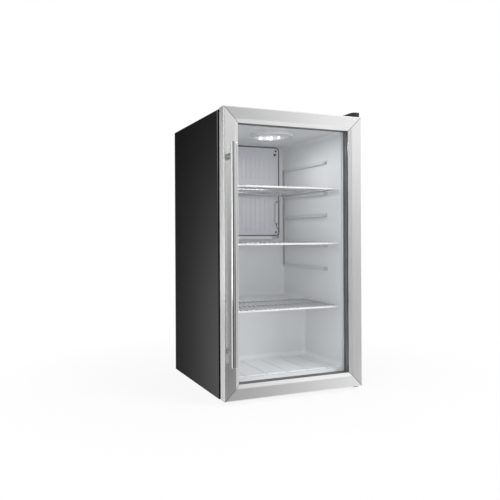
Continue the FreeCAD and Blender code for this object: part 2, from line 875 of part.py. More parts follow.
# Door rail or stile: a hollow section with a rounded outer edge and a bevel down to the glass, mitred at both ends
def make_door_rail(label, length, x, z, angle, hinge_hole=0):
    rail = new_piece(label, "door", x, "0", z)
    rail.setExpression("Placement.Rotation.Axis.y", "1")
    rail.setExpression("Placement.Rotation.Axis.z", "0")
    rail.setExpression("Placement.Rotation.Angle", str(angle))
    lip = "bevel_drop + frame_lip"
    section = [
        ("0", "0", "edge_round"),
        ("door_thickness", "0"),
        ("door_thickness", "glazing_pocket"),
        (lip, "glazing_pocket"),
        (lip, "inner_edge"),
        ("bevel_drop", "inner_edge"),
        ("0", "frame_flat"),
    ]
    hollow = box("frame_gauge", "frame_gauge", "door_thickness - frame_gauge", "glazing_pocket - frame_gauge")
    pad(rail, "YZ", [section, hollow], "0", length, centred=True)
    over = "edge_round"
    mitres = []
    for side in (-1, 1):
        end = f"{length} / 2"
        mitre = [
            (f"{side} * ({end} - mitre_gap + {over})", f"-{over}"),
            (f"{side} * ({end} + {over})", f"-{over}"),
            (f"{side} * ({end} + {over})", f"inner_edge + {over}"),
            (f"{side} * ({end} - mitre_gap - inner_edge - {over})", f"inner_edge + {over}"),
        ]
        mitres.append(mitre)
    cut(rail, "XZ", mitres, f"-{over}", f"door_thickness + 2 * {over}")
    if hinge_hole:
        bush = disc(f"{hinge_hole} * hinge_side", "hinge_depth", "bush_radius + key_fit")
        cut(rail, "XY", [bush], "-frame_gauge", "2.5 * frame_gauge")


def make_door_frame():
    make_door_rail("door_rail_bottom", "cabinet_width", "0", "0", 0, hinge_hole=1)
    make_door_rail("door_rail_top", "cabinet_width", "0", "door_height", 180, hinge_hole=-1)
    make_door_rail("door_stile_handle", "door_height", "-half_width", "door_height / 2", 90)
    make_door_rail("door_stile_hinge", "door_height", "half_width", "door_height / 2", -90)
    keys = new_piece("corner_keys", "door")
    loops = []
    for side in (-1, 1):
        for low in (True, False):
            loops.append(corner_key(side, low))
    pad(keys, "XZ", loops, "key_edge", "door_thickness - 2 * key_edge")
    bore = [disc("hinge_side", "hinge_depth", "bush_radius + key_fit")]
    cut(keys, "XY", bore, "0", "bush_length + key_fit")
    cut(keys, "XY", bore, "door_height - bush_length - key_fit", "bush_length + key_fit")


# L-shaped block in one corner of the frame, clear of the hollow rails by the key's fit
def corner_key(side, low):
    steps = [
        ("key_edge", "key_edge"),
        ("key_leg", "key_edge"),
        ("key_leg", "key_inside"),
        ("key_inside", "key_inside"),
        ("key_inside", "key_leg"),
        ("key_edge", "key_leg"),
    ]
    corners = []
    for inward, upward in steps:
        z = upward if low else f"door_height - {upward}"
        corners.append((f"{side} * (half_width - {inward})", z))
    return corners


# A rectangular band round the door, from one distance to another inside its outer edge
def door_band(outer, inner):
    return [
        box(f"-(half_width - ({outer}))", outer, f"half_width - ({outer})", f"door_height - ({outer})"),
        box(f"-(half_width - ({inner}))", inner, f"half_width - ({inner})", f"door_height - ({inner})"),
    ]


# Double glazing, the dark frame behind it and the magnetic seal pressed into that frame
def make_glazing():
    pane = door_band("glass_edge", "inner_edge")[:1]
    outer_glass = new_piece("outer_glass", "door")
    pad(outer_glass, "XZ", pane, "glass_front", "glass_gauge")
    inner_glass = new_piece("inner_glass", "door")
    pad(inner_glass, "XZ", pane, "glass_front + glass_gauge + glass_cavity", "glass_gauge")
    spacer = new_piece("glass_spacer", "door")
    ring = door_band("inner_edge - spacer_width", "inner_edge")
    pad(spacer, "XZ", ring, "glass_front + glass_gauge", "glass_cavity")
    liner = new_piece("door_liner", "door")
    pad(liner, "XZ", door_band("glazing_pocket", "inner_edge"), "door_liner_front", "door_thickness - door_liner_front")
    groove = door_band("seal_centre - liner_groove_width / 2", "seal_centre + liner_groove_width / 2")
    cut(liner, "XZ", groove, "door_thickness - liner_groove_depth", "liner_groove_depth")
    gasket = new_piece("door_gasket", "door")
    half_dart = "liner_groove_width / 2 - key_fit"
    seal_step(gasket, half_dart, "door_thickness - liner_groove_depth + key_fit", "liner_groove_depth - key_fit")
    seal_step(gasket, "seal_base_width / 2", "door_thickness", "seal_base_gauge")
    waist = "seal_gap - seal_base_gauge - seal_head_gauge - seal_fit"
    seal_step(gasket, "seal_waist_width / 2", "door_thickness + seal_base_gauge", waist)
    head = "door_thickness + seal_gap - seal_head_gauge - seal_fit"
    seal_step(gasket, "seal_head_width / 2", head, "seal_head_gauge")


def seal_step(gasket, half, start, length):
    pad(gasket, "XZ", door_band(f"seal_centre - ({half})", f"seal_centre + {half}"), start, length)


# Round bar on two posts, whose ends are hollowed to seat on it
def make_handle():
    bar = new_piece("handle_bar", "door")
    section = disc("-handle_side", "-handle_standoff", "handle_diameter / 2")
    pad(bar, "XY", [section], "handle_low", "handle_length")
    round_edges(bar, "handle_end_round", lambda edge: edge.Curve.TypeId == "Part::GeomCircle")
    posts = new_piece("handle_posts", "door")
    ends = [disc("-handle_side", height, "post_diameter / 2") for height in ("post_low", "post_high")]
    pad(posts, "XZ", ends, "-handle_standoff", "handle_standoff")
    seat = disc("-handle_side", "-handle_standoff", "handle_diameter / 2 + handle_fit")
    cut(posts, "XY", [seat], "0", "door_height")


# Flanged bushes in the door's top and bottom edges
def make_hinge_bushes():
    bushes = new_piece("hinge_bushes", "door", "hinge_side", "hinge_depth")
    bore = "pin_radius + pin_fit"
    foot = [
        (bore, "-bush_flange"),
        ("bush_flange_radius", "-bush_flange"),
        ("bush_flange_radius", "0"),
        ("bush_radius", "0"),
        ("bush_radius", "bush_length"),
        (bore, "bush_length"),
    ]
    revolve(bushes, foot)
    revolve(bushes, [(radius, f"door_height - ({height})") for radius, height in reversed(foot)])


# Joggled plate on the cabinet's top with a pin down into the door, under a moulded cover
def make_top_hinge():
    bracket = new_piece("top_hinge_bracket", x="hinge_side", z="cabinet_height")
    nose = "hinge_line - hinge_nose"
    step = "hinge_step + hinge_rise"
    slope = "hinge_gauge / 3"
    section = [
        (nose, "hinge_rise"),
        ("hinge_step", "hinge_rise"),
        (step, "0"),
        ("hinge_tail", "0"),
        ("hinge_tail", "hinge_gauge"),
        (f"{step} + {slope}", "hinge_gauge"),
        (f"hinge_step + {slope}", "hinge_rise + hinge_gauge"),
        (nose, "hinge_rise + hinge_gauge"),
    ]
    pad(bracket, "YZ", [section], "0", "2 * hinge_half", centred=True)
    round_edges(bracket, "hinge_nose_round", lambda edge: lies_at(edge, "y", nose) and runs_along(edge, "z"))
    holes = [disc("0", spot, "hinge_screw_radius + key_fit") for spot in ("hinge_screw_front", "hinge_screw_rear")]
    holes.append(disc("0", "hinge_line", "pin_radius + pin_fit"))
    cut(bracket, "XY", holes, "0", "hinge_rise + hinge_gauge + bend_radius")
    pin = new_piece("top_hinge_pin", x="hinge_side", y="hinge_line", z="cabinet_height")
    top = "hinge_rise + hinge_gauge"
    shank = [("0", "door_lift - pin_reach"), ("pin_radius", "door_lift - pin_reach"), ("pin_radius", top), ("0", top)]
    revolve(pin, shank)
    cover = new_piece("hinge_cover", x="hinge_side", z="cabinet_height")
    top = "door_lift + cover_height"
    pad(cover, "XY", [cover_outline("0")], "0", top)
    round_edges(cover, "cover_top_round", lambda edge: lies_at(edge, "z", top))
    cut(cover, "XY", [cover_outline("cover_wall")], "0", f"{top} - cover_wall")
    front = box("-cover_half * 2", "hinge_line - 2 * cover_nose", "cover_half * 2", "sheet_gauge")
    cut(cover, "XY", [front], "0", "door_lift + cover_clear")


def cover_outline(inset):
    half = f"cover_half - {inset}"
    nose = f"hinge_line - cover_nose + {inset}"
    tail = f"cover_tail - {inset}"
    corner = f"cover_corner - {inset}"
    return [
        (f"-({half})", nose, f"cover_round - {inset}"),
        (half, nose, corner),
        (half, tail, corner),
        (f"-({half})", tail, corner),
    ]


# Flat plate under the cabinet with a pin up into the door, and the screws of both hinges
def make_bottom_hinge():
    bracket = new_piece("bottom_hinge_bracket", x="hinge_side", z="-hinge_gauge")
    nose = "hinge_line - hinge_nose"
    outline = [
        ("hinge_half - lower_hinge_width", "0 - sheet_gauge", "bend_radius"),
        ("-hinge_half", nose, "bend_radius"),
        ("hinge_half", nose, "bend_radius"),
        ("hinge_half", "hinge_tail", "bend_radius"),
        ("hinge_half - lower_hinge_width", "hinge_tail", "bend_radius"),
    ]
    holes = [disc("0", spot, "hinge_screw_radius + key_fit") for spot in ("hinge_screw_front", "hinge_screw_rear")]
    holes.append(disc("0", "hinge_line", "pin_radius + pin_fit"))
    pad(bracket, "XY", [outline] + holes, "0", "hinge_gauge")
    pin = new_piece("bottom_hinge_pin", x="hinge_side", y="hinge_line")
    top = "door_lift + pin_reach"
    shank = [("0", "-hinge_gauge"), ("pin_radius", "-hinge_gauge"), ("pin_radius", top), ("0", top)]
    revolve(pin, shank)
    screws = new_piece("hinge_screws", x="hinge_side")
    spots = ("hinge_screw_front", "hinge_screw_rear")
    shanks = [disc("0", spot, "hinge_screw_radius") for spot in spots]
    heads = [disc("0", spot, "hinge_screw_head") for spot in spots]
    pad(screws, "XY", shanks, "cabinet_height", "hinge_gauge")
    pad(screws, "XY", heads, "cabinet_height + hinge_gauge", "hinge_screw_height")
    pad(screws, "XY", shanks, "-hinge_gauge", "hinge_gauge")
    pad(screws, "XY", heads, "-hinge_gauge - hinge_screw_height", "hinge_screw_height")


# Front feet on threaded studs in sockets, and fixed rear feet
def make_feet():
    foot_top = "foot_height - foot_seat"
    for label, side in (("front_foot_left", -1), ("front_foot_right", 1)):
        foot = new_piece(label, x=f"{side} * foot_place", y="foot_front", z="-foot_height")
        turned = [
            ("0", "0"),
            ("foot_radius", "0"),
            ("foot_radius - foot_taper", foot_top),
            ("stud_radius", foot_top),
            ("stud_radius", "foot_height + stud_length"),
            ("0", "foot_height + stud_length"),
        ]
        revolve(foot, turned)
    sockets = new_piece("foot_sockets")
    rings = []
    for side in (-1, 1):
        rings.append(disc(f"{side} * foot_place", "foot_front", "socket_radius"))
        rings.append(disc(f"{side} * foot_place", "foot_front", "stud_radius + stud_fit"))
    pad(sockets, "XY", rings, "sheet_gauge", "socket_length")
    rear_feet = new_piece("rear_feet", z="-foot_height")
    pads = [disc(f"{side} * foot_place", "rear_foot_place", "foot_radius") for side in (-1, 1)]
    pad(rear_feet, "XY", pads, "0", "foot_height")
    round_edges(rear_feet, "foot_taper", lambda edge: lies_at(edge, "z", "foot_height"))


# Stamped tray across the back, with the compressor on rubber grommets
def make_compressor():
    tray = new_piece("compressor_tray")
    wall = "tray_gauge"
    section = [
        ("bay_front", "0"),
        ("cabinet_depth", "0"),
        ("cabinet_depth", "tray_flange"),
        (f"cabinet_depth - {wall}", "tray_flange"),
        (f"cabinet_depth - {wall}", wall),
        (f"bay_front + {wall}", wall),
        (f"bay_front + {wall}", "tray_flange"),
        ("bay_front", "tray_flange"),
    ]
    pad(tray, "YZ", [section], "0", "cabinet_width - 2 * (sheet_gauge + tray_play)", centred=True)
    can = new_piece("compressor_can", x="-compressor_offset", y="bay_middle", z="can_base")
    turned = [
        ("0", "0"),
        ("can_radius", "0", "can_foot_round"),
        ("can_radius", "can_seam"),
        ("can_radius + can_seam_width", "can_seam"),
        ("can_radius + can_seam_width", "can_seam + can_seam_width"),
        ("can_radius", "can_seam + can_seam_width"),
        ("can_radius", "can_height", "can_dome_round"),
        ("0", "can_height"),
    ]
    revolve(can, turned)
    base = new_piece("compressor_base", x="-compressor_offset", y="bay_middle")
    plate = box("-base_half_length", "-base_half_breadth", "base_half_length", "base_half_breadth", "base_round")
    pad(base, "XY", [plate] + grommet_discs("grommet_hole"), "base_lift", "base_gauge")
    grommets = new_piece("compressor_grommets", x="-compressor_offset", y="bay_middle")
    bores = grommet_discs("bolt_radius + key_fit")
    gap = "pin_fit"
    pad(grommets, "XY", grommet_discs("grommet_radius") + bores, "tray_gauge", f"base_lift - tray_gauge - {gap}")
    pad(grommets, "XY", grommet_discs("grommet_waist") + bores, f"base_lift - {gap}", f"base_gauge + 2 * {gap}")
    pad(grommets, "XY", grommet_discs("grommet_radius") + bores, f"can_base + {gap}", "grommet_cap")
    bolts = new_piece("compressor_bolts", x="-compressor_offset", y="bay_middle")
    cap_top = f"can_base + {gap} + grommet_cap"
    pad(bolts, "XY", grommet_discs("bolt_radius"), "tray_gauge", f"{cap_top} - tray_gauge")
    pad(bolts, "XY", grommet_discs("bolt_head_radius"), cap_top, "bolt_head_height")
    relay = new_piece("relay_box", x="-compressor_offset", y="bay_middle")
    near = "can_radius / 2"
    far = "can_radius + can_seam_width + relay_fit + relay_length"
    shell = box(near, "-relay_breadth / 2", far, "relay_breadth / 2", "relay_round")
    pad(relay, "XY", [shell], "relay_low", "relay_height")
    cut(relay, "XY", [disc("0", "0", "can_radius + can_seam_width + relay_fit")], "0", "cabinet_height")


def grommet_discs(radius):
    discs = []
    for across in (-1, 1):
        for along in (-1, 1):
            discs.append(disc(f"{across} * grommet_span / 2", f"{along} * grommet_stance / 2", radius))
    return discs


# Serpentine condenser on the back with wires on both faces, held off the panel by spacers
def make_condenser():
    runs = round(value("coil_runs"))
    pitch = value("coil_pitch")
    plane = value("coil_plane")
    half = value("coil_half")
    low = value("coil_bottom")
    riser = value("riser_half")
    bottom = value("riser_bottom")
    points = [FreeCAD.Vector(-riser, plane, bottom), FreeCAD.Vector(-riser, plane, low)]
    side = 1
    for run in range(runs - 1):
        points.append(FreeCAD.Vector(side * half, plane, low + run * pitch))
        points.append(FreeCAD.Vector(side * half, plane, low + (run + 1) * pitch))
        side = -side
    top = low + (runs - 1) * pitch
    points.append(FreeCAD.Vector(side * riser, plane, top))
    points.append(FreeCAD.Vector(side * riser, plane, bottom))
    bent_tube("condenser_coil", points, "coil_radius", "coil_pitch / 2 - coil_radius / 4")
    wires = new_piece("condenser_wires")
    clear = "coil_radius + coil_wire_radius + wire_fit"
    start = "-coil_wire_span / 2"
    pair = [disc(start, f"coil_plane + {side} * ({clear})", "coil_wire_radius") for side in (-1, 1)]
    length = "coil_top - coil_bottom + 2 * coil_wire_overrun"
    one = pad(wires, "XY", pair, "coil_bottom - coil_wire_overrun", length)
    repeat(wires, one, "X_Axis", "coil_wire_span", "coil_wire_count")
    brackets = new_piece("condenser_brackets")
    loops = []
    spacing = "coil_wire_span / (coil_wire_count - 1)"
    for side in (-1, 1):
        middle = f"{side} * (coil_wire_span / 2 - (bracket_wire_gaps + 1 / 2) * {spacing})"
        for floor in ("coil_bottom", "coil_top - coil_pitch"):
            gap = "coil_radius + bracket_play"
            spacer = box(
                f"{middle} - bracket_width / 2",
                f"{floor} + {gap}",
                f"{middle} + bracket_width / 2",
                f"{floor} + coil_pitch - ({gap})",
                "bracket_round",
            )
            loops.append(spacer)
    pad(brackets, "XZ", loops, "cabinet_depth", "rear_reach")


# Discharge and suction pipes, filter drier and capillary
def make_pipes():
    out = "-compressor_offset - can_radius - pipe_joint"
    side = "discharge_inset - half_width"
    corners = [
        vector(out, "bay_middle", "discharge_height"),
        vector(side, "bay_middle", "discharge_height"),
        vector(side, "bay_middle", "discharge_rise"),
        vector(side, "coil_plane", "discharge_rise"),
        vector("-riser_half", "coil_plane", "discharge_rise"),
        vector("-riser_half", "coil_plane", "riser_bottom - pipe_joint"),
    ]
    bent_tube("discharge_pipe", corners, "coil_radius", "suction_bend - coil_radius / 4")
    side = "suction_inset - half_width"
    corners = [
        vector(out, "bay_middle", "suction_height"),
        vector(side, "bay_middle", "suction_height"),
        vector(side, "bay_middle", "bay_top - sheet_gauge - pipe_joint"),
    ]
    bent_tube("suction_pipe", corners, "suction_radius", "suction_bend")
    drier = new_piece("filter_drier", x="riser_half", y="coil_plane", z="riser_bottom - pipe_joint - drier_length")
    turned = [
        ("0", "0"),
        ("coil_radius", "0"),
        ("drier_radius", "drier_neck"),
        ("drier_radius", "drier_length - drier_neck"),
        ("coil_radius", "drier_length"),
        ("0", "drier_length"),
    ]
    revolve(drier, turned)
    below = "riser_bottom - 2 * pipe_joint - drier_length"
    inward = "cabinet_depth - 2 * back_wall"
    corners = [
        vector("riser_half", "coil_plane", below),
        vector("riser_half", "coil_plane", f"{below} - capillary_drop"),
        vector("riser_half", inward, f"{below} - capillary_drop"),
        vector("riser_half", inward, "bay_top - sheet_gauge - pipe_joint"),
    ]
    bent_tube("capillary_tube", corners, "capillary_radius", "capillary_bend")


# Embossed evaporator plate on standoffs in front of the liner's back, with its sensor and drip gutter
def make_evaporator():
    plate = new_piece("evaporator_plate")
    sheet_outline = box(
        "-evaporator_half", "evaporator_bottom", "evaporator_half", "evaporator_top", "evaporator_corner"
    )
    holes = evaporator_discs("evaporator_screw_radius + evaporator_screw_fit")
    pad(plate, "XZ", [sheet_outline] + holes, "evaporator_face", "evaporator_gauge")
    first = "-(evaporator_rib_count - 1) * evaporator_rib_spacing / 2"
    left = f"{first} - evaporator_rib_width / 2"
    right = f"{first} + evaporator_rib_width / 2"
    tip = "0.48 * evaporator_rib_width"
    ribs = [
        box(left, "rib_lower", right, "rib_lower + rib_lower_length", tip),
        box(left, "rib_upper", right, "rib_upper + rib_upper_length", tip),
    ]
    one = pad(plate, "XZ", ribs, "evaporator_face - evaporator_rib_depth", "evaporator_rib_depth")
    span = "(evaporator_rib_count - 1) * evaporator_rib_spacing"
    repeat(plate, one, "X_Axis", span, "evaporator_rib_count")
    standoffs = new_piece("evaporator_standoffs")
    rings = evaporator_discs("standoff_radius") + holes
    pad(standoffs, "XZ", rings, "evaporator_face + evaporator_gauge", "evaporator_gap")
    screws = new_piece("evaporator_screws")
    heads = evaporator_discs("evaporator_screw_head")
    pad(screws, "XZ", heads, "evaporator_face - evaporator_screw_height", "evaporator_screw_height")
    shanks = evaporator_discs("evaporator_screw_radius")
    pad(screws, "XZ", shanks, "evaporator_face", "evaporator_gauge + evaporator_gap")
    make_sensor()
    gutter = new_piece("drip_gutter")
    rear = "liner_back"
    rim = "gutter_bottom + gutter_height"
    section = [
        (f"{rear} - gutter_depth", "gutter_bottom", "gutter_round"),
        (rear, "gutter_bottom"),
        (rear, rim),
        (f"{rear} - gutter_depth", rim),
    ]
    pad(gutter, "YZ", [section], "0", "2 * gutter_half", centred=True)
    inside = "gutter_half - gutter_wall"
    channel = box(f"-({inside})", f"{rear} - gutter_depth + gutter_wall", inside, f"{rear} - gutter_wall")
    cut(gutter, "XY", [channel], "gutter_bottom + gutter_round", "gutter_height")


def evaporator_discs(radius):
    discs = []
    for side in (-1, 1):
        for height in ("evaporator_bottom + standoff_inset", "evaporator_top - standoff_inset"):
            discs.append(disc(f"{side} * (evaporator_half - standoff_inset)", height, radius))
    return discs


# Thermostat bulb under a bent clip, its capillary led past the screw, down and into the back wall
def make_sensor():
    clip = new_piece("sensor_clip", x="clip_side", y="evaporator_face")
    arch = "bulb_radius + bulb_fit"
    outer = f"{arch} + clip_gauge"
    crown = f"2 * ({arch})"
    foot = f"{outer} + clip_flange"
    corner = "bulb_radius"
    section = [
        (f"-({foot})", "0"),
        (f"-({foot})", "-clip_gauge"),
        (f"-({outer})", "-clip_gauge"),
        (f"-({outer})", f"-({crown} + clip_gauge)", corner),
        (outer, f"-({crown} + clip_gauge)", corner),
        (outer, "-clip_gauge"),
        (foot, "-clip_gauge"),
        (foot, "0"),
        (arch, "0"),
        (arch, f"-({crown})", f"{corner} - clip_gauge"),
        (f"-({arch})", f"-({crown})", f"{corner} - clip_gauge"),
        (f"-({arch})", "0"),
    ]
    pad(clip, "XY", [section], "clip_bottom", "clip_length")
    middle = f"evaporator_face - ({arch})"
    low = "clip_bottom - bulb_overrun"
    bulb_length = value("clip_length + 2 * bulb_overrun")
    bulb = Part.makeCylinder(value("bulb_radius"), bulb_length, vector("clip_side", middle, low))
    drop = "evaporator_bottom - capillary_bend"
    side = "clip_side + sensor_side"
    bend = f"{low} - bulb_overrun"
    corners = [
        vector("clip_side", middle, f"{low} + bulb_overrun / 2"),
        vector("clip_side", middle, bend),
        vector(side, middle, f"{bend} - sensor_slant"),
        vector(side, middle, drop),
        vector(side, "liner_back - pipe_joint", drop),
    ]
    ring = Part.Wire(Part.makeCircle(value("capillary_radius"), corners[0], FreeCAD.Vector(0, 0, -1)))
    line = bent_path(corners, value("capillary_bend")).makePipeShell([ring], True, False)
    sensor = doc.addObject("Part::Feature", "sensor_tube")
    sensor.Shape = bulb.fuse(line)
    in_cabinet(sensor)
    nodes["sensor_tube"] = sensor


# Round lamp under the ceiling: base, board, light points and a dished lens over them
def make_lamp():
    lamp = {"y": "lamp_place", "z": "liner_ceiling"}
    base = new_piece("lamp_base", **lamp)
    under_base = "-lamp_base_gauge"
    pad(base, "XY", [disc("0", "0", "lamp_base_radius")], under_base, "lamp_base_gauge")
    board = new_piece("led_board", **lamp)
    under_board = f"{under_base} - lamp_board_gauge"
    pad(board, "XY", [disc("0", "0", "lamp_board_radius")], under_board, "lamp_board_gauge")
    leds = new_piece("lamp_leds", **lamp)
    near = "led_ring - led_side / 2"
    far = "led_ring + led_side / 2"
    corner = "led_side / 6"
    point = box(near, "-led_side / 2", far, "led_side / 2", corner)
    one = pad(leds, "XY", [point], f"{under_board} - led_height", "led_height")
    repeat_round(leds, one, "led_count")
    lens = new_piece("lamp_lens", **lamp)
    inner = "lens_radius - lens_wall"
    dish = [
        ("0", "-lens_drop"),
        ("lens_radius", "-lens_drop", "lens_round"),
        ("lens_radius", "0"),
        (inner, "0"),
        (inner, "lens_wall - lens_drop", "lens_round - lens_wall"),
        ("0", "lens_wall - lens_drop"),
    ]
    revolve(lens, dish)


# Control plate in the bay with the thermostat, its knob and the gland for the cord
def make_controls():
    plate = new_piece("control_plate")
    wall = "half_width - sheet_gauge"
    top = "bay_top - sheet_gauge"
    outline = box("plate_left", f"{top} - plate_height", wall, top)
    holes = [
        disc("knob_place", "knob_height", "stem_radius + stem_fit"),
        disc("gland_place", "gland_height", "gland_waist + key_fit"),
    ]
    pad(plate, "XZ", [outline] + holes, "plate_front", "plate_gauge")
    body = new_piece("thermostat_body")
    half = "thermostat_width / 2"
    tall = "thermostat_height / 2"
    case = box(
        f"knob_place - {half}",
        f"knob_height - {tall}",
        f"knob_place + {half}",
        f"knob_height + {tall}",
        "thermostat_round",
    )
    pad(body, "XZ", [case], "plate_front - thermostat_depth", "thermostat_depth")
    bore = disc("knob_place", "knob_height", "stem_radius + stem_fit")
    cut(body, "XZ", [bore], "plate_front - stem_length", "stem_length")
    knob = new_piece("thermostat_knob", x="knob_place", y="plate_back", z="knob_height")
    knob.setExpression("Placement.Rotation.Axis.x", "1")
    knob.setExpression("Placement.Rotation.Axis.z", "0")
    knob.setExpression("Placement.Rotation.Angle", "-90")
    tip = "stem_fit - stem_length - plate_gauge"
    end = "knob_gap + knob_length"
    turned = [
        ("0", tip),
        ("stem_radius", tip),
        ("stem_radius", "knob_gap"),
        ("knob_radius", "knob_gap"),
        ("knob_radius - knob_round", end, "knob_round"),
        ("0", end),
    ]
    revolve(knob, turned)
    flute = cut(knob, "XY", [disc("knob_radius + knob_flute_radius / 2", "0", "knob_flute_radius")], "0", end)
    repeat_round(knob, flute, "knob_flute_count")
    gland = new_piece("cord_gland", x="gland_place", y="plate_front", z="gland_height")
    gland.setExpression("Placement.Rotation.Axis.x", "1")
    gland.setExpression("Placement.Rotation.Axis.z", "0")
    gland.setExpression("Placement.Rotation.Angle", "-90")
    lip = "gland_lip"
    ring = [
        ("gland_bore", f"-{lip}"),
        ("gland_flange", f"-{lip}"),
        ("gland_flange", "0"),
        ("gland_waist", "0"),
        ("gland_waist", "plate_gauge"),
        ("gland_flange", "plate_gauge"),
        ("gland_flange", f"plate_gauge + {lip}"),
        ("gland_bore", f"plate_gauge + {lip}"),
    ]
    revolve(gland, ring)


def check_document():
    doc.recompute()
    for thing in doc.Objects:
        if "Invalid" in thing.State or "Error" in thing.State:
            raise RuntimeError(f"{thing.Label} failed: {thing.State}")
    for feature in cuts:
        if feature.Shape.Volume >= feature.BaseFeature.Shape.Volume:
            raise RuntimeError(f"{feature.Label} cuts nothing")
    for label, piece in nodes.items():
        if piece.Shape.isNull() or not piece.Shape.isValid() or not piece.Shape.Solids:
            raise RuntimeError(f"{label} has no valid solid")


def write_parts():
    os.makedirs("parts", exist_ok=True)
    for label, piece in nodes.items():
        piece.Shape.exportStep(f"parts/{label}.step")


make_cabinet_wrap()
make_rear_panel()
make_bay_shroud()
make_floor_pan()
make_inner_liner()
make_shelf("shelf_upper", "shelf_upper_level", "shelf_back", 2)
make_shelf("shelf_middle", "shelf_middle_level", "shelf_back", 2)
make_shelf("shelf_lower", "shelf_lower_level", "shelf_lower_back", 1)
make_door_frame()
make_glazing()
make_handle()
make_hinge_bushes()
make_top_hinge()
make_bottom_hinge()
make_feet()
make_compressor()
make_condenser()
make_pipes()
make_evaporator()
make_lamp()
make_controls()
check_document()
write_parts()
print(len(nodes), "nodes")
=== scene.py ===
import math
import bmesh
import bpy
from mathutils import Matrix, Vector


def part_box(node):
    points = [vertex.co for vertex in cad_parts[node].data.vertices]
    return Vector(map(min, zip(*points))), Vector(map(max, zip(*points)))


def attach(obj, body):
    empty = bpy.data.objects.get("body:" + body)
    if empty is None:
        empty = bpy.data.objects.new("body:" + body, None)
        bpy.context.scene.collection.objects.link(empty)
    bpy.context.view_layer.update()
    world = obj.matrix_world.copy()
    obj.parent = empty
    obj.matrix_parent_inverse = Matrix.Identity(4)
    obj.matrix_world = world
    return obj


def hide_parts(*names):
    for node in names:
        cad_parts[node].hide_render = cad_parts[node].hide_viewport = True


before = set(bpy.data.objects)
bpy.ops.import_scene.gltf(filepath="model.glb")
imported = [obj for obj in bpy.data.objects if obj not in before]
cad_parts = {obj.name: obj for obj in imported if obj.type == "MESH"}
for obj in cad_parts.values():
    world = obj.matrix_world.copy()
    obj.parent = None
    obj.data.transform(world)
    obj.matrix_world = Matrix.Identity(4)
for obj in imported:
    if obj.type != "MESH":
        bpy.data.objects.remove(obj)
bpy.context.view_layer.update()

scene = bpy.context.scene
print("frame loaded:", len(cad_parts), "nodes")


# node helpers

def addNode(tree, kind, settings=None, **values):
    node = tree.nodes.new(kind)
    for key, value in values.items():
        setattr(node, key, value)
    for key, value in (settings or {}).items():
        node.inputs[key].default_value = value
    return node


def wire(tree, source, output, target, entry):
    tree.links.new(source.outputs[output], target.inputs[entry])


def feed(tree, source, target, *pairs):
    for output, entry in pairs:
        wire(tree, source, output, target, entry)


def newMaterial(name, values):
    material = bpy.data.materials.new(name)
    material.use_nodes = True
    tree = material.node_tree
    shader = tree.nodes["Principled BSDF"]
    for key, value in values.items():
        shader.inputs[key].default_value = value
    return material, tree, shader


def newGroup(name, entries, exits):
    group = bpy.data.node_groups.new(name, "ShaderNodeTree")
    for label, kind, value in entries:
        socket = group.interface.new_socket(label, in_out="INPUT", socket_type="NodeSocket" + kind)
        socket.default_value = value
    for label, kind in exits:
        group.interface.new_socket(label, in_out="OUTPUT", socket_type="NodeSocket" + kind)
    return group, group.nodes.new("NodeGroupInput"), group.nodes.new("NodeGroupOutput")


def mixTones(tree, factor, factorOut, first, firstOut, second, secondOut):
    mix = addNode(tree, "ShaderNodeMix", data_type="RGBA")
    wire(tree, factor, factorOut, mix, 0)
    wire(tree, first, firstOut, mix, 6)
    wire(tree, second, secondOut, mix, 7)
    return mix


# one flat tone laid over another where the mask is 1
def paintOver(tree, tone, mask, colour):
    mix = addNode(tree, "ShaderNodeMix", {7: (*colour, 1)}, data_type="RGBA")
    tree.links.new(mask, mix.inputs[0])
    tree.links.new(tone, mix.inputs[6])
    return mix.outputs[2]


def spread(tree, source, output, low, high):
    ramp = addNode(tree, "ShaderNodeMapRange")
    wire(tree, source, output, ramp, "Value")
    for entry, value in (("To Min", low), ("To Max", high)):
        if isinstance(value, tuple):
            wire(tree, *value, ramp, entry)
        else:
            ramp.inputs[entry].default_value = value
    return ramp


def ease(tree, source, output, start, stop, low, high):
    ramp = spread(tree, source, output, low, high)
    ramp.interpolation_type = "SMOOTHSTEP"
    ramp.inputs["From Min"].default_value = start
    ramp.inputs["From Max"].default_value = stop
    return ramp


def pair(tree, first, firstOut, second, secondOut, operation):
    both = addNode(tree, "ShaderNodeMath", operation=operation)
    wire(tree, first, firstOut, both, 0)
    wire(tree, second, secondOut, both, 1)
    return both


def times(tree, first, firstOut, second, secondOut):
    return pair(tree, first, firstOut, second, secondOut, "MULTIPLY")


def distance(tree, source, output, centre):
    aside = addNode(tree, "ShaderNodeMath", {1: centre}, operation="SUBTRACT")
    wire(tree, source, output, aside, 0)
    away = addNode(tree, "ShaderNodeMath", operation="ABSOLUTE")
    wire(tree, aside, "Value", away, 0)
    return away


# 1 between two places on one axis, 0 outside, with a short soft edge
def band(tree, source, output, low, high, soft):
    away = distance(tree, source, output, (low + high) / 2)
    half = (high - low) / 2
    return ease(tree, away, "Value", half, half + soft, 1.0, 0.0)


# two or more ramps taken together
def combine(tree, operation, first, *others):
    total, output = first, "Result"
    for other in others:
        total = pair(tree, total, output, other, "Result", operation)
        output = "Value"
    return total


def axes(tree):
    split = addNode(tree, "ShaderNodeSeparateXYZ")
    wire(tree, addNode(tree, "ShaderNodeTexCoord"), "Object", split, "Vector")
    return split


def noise(tree, source, output, scale, detail=2.0, rough=0.5):
    cloud = addNode(tree, "ShaderNodeTexNoise", {"Scale": scale, "Detail": detail, "Roughness": rough})
    wire(tree, source, output, cloud, "Vector")
    return cloud


def blendTones(tree, source, output, low, high):
    ramp = addNode(tree, "ShaderNodeValToRGB")
    for element, colour in zip(ramp.color_ramp.elements, (low, high)):
        element.color = (*colour, 1)
    wire(tree, source, output, ramp, "Fac")
    return ramp


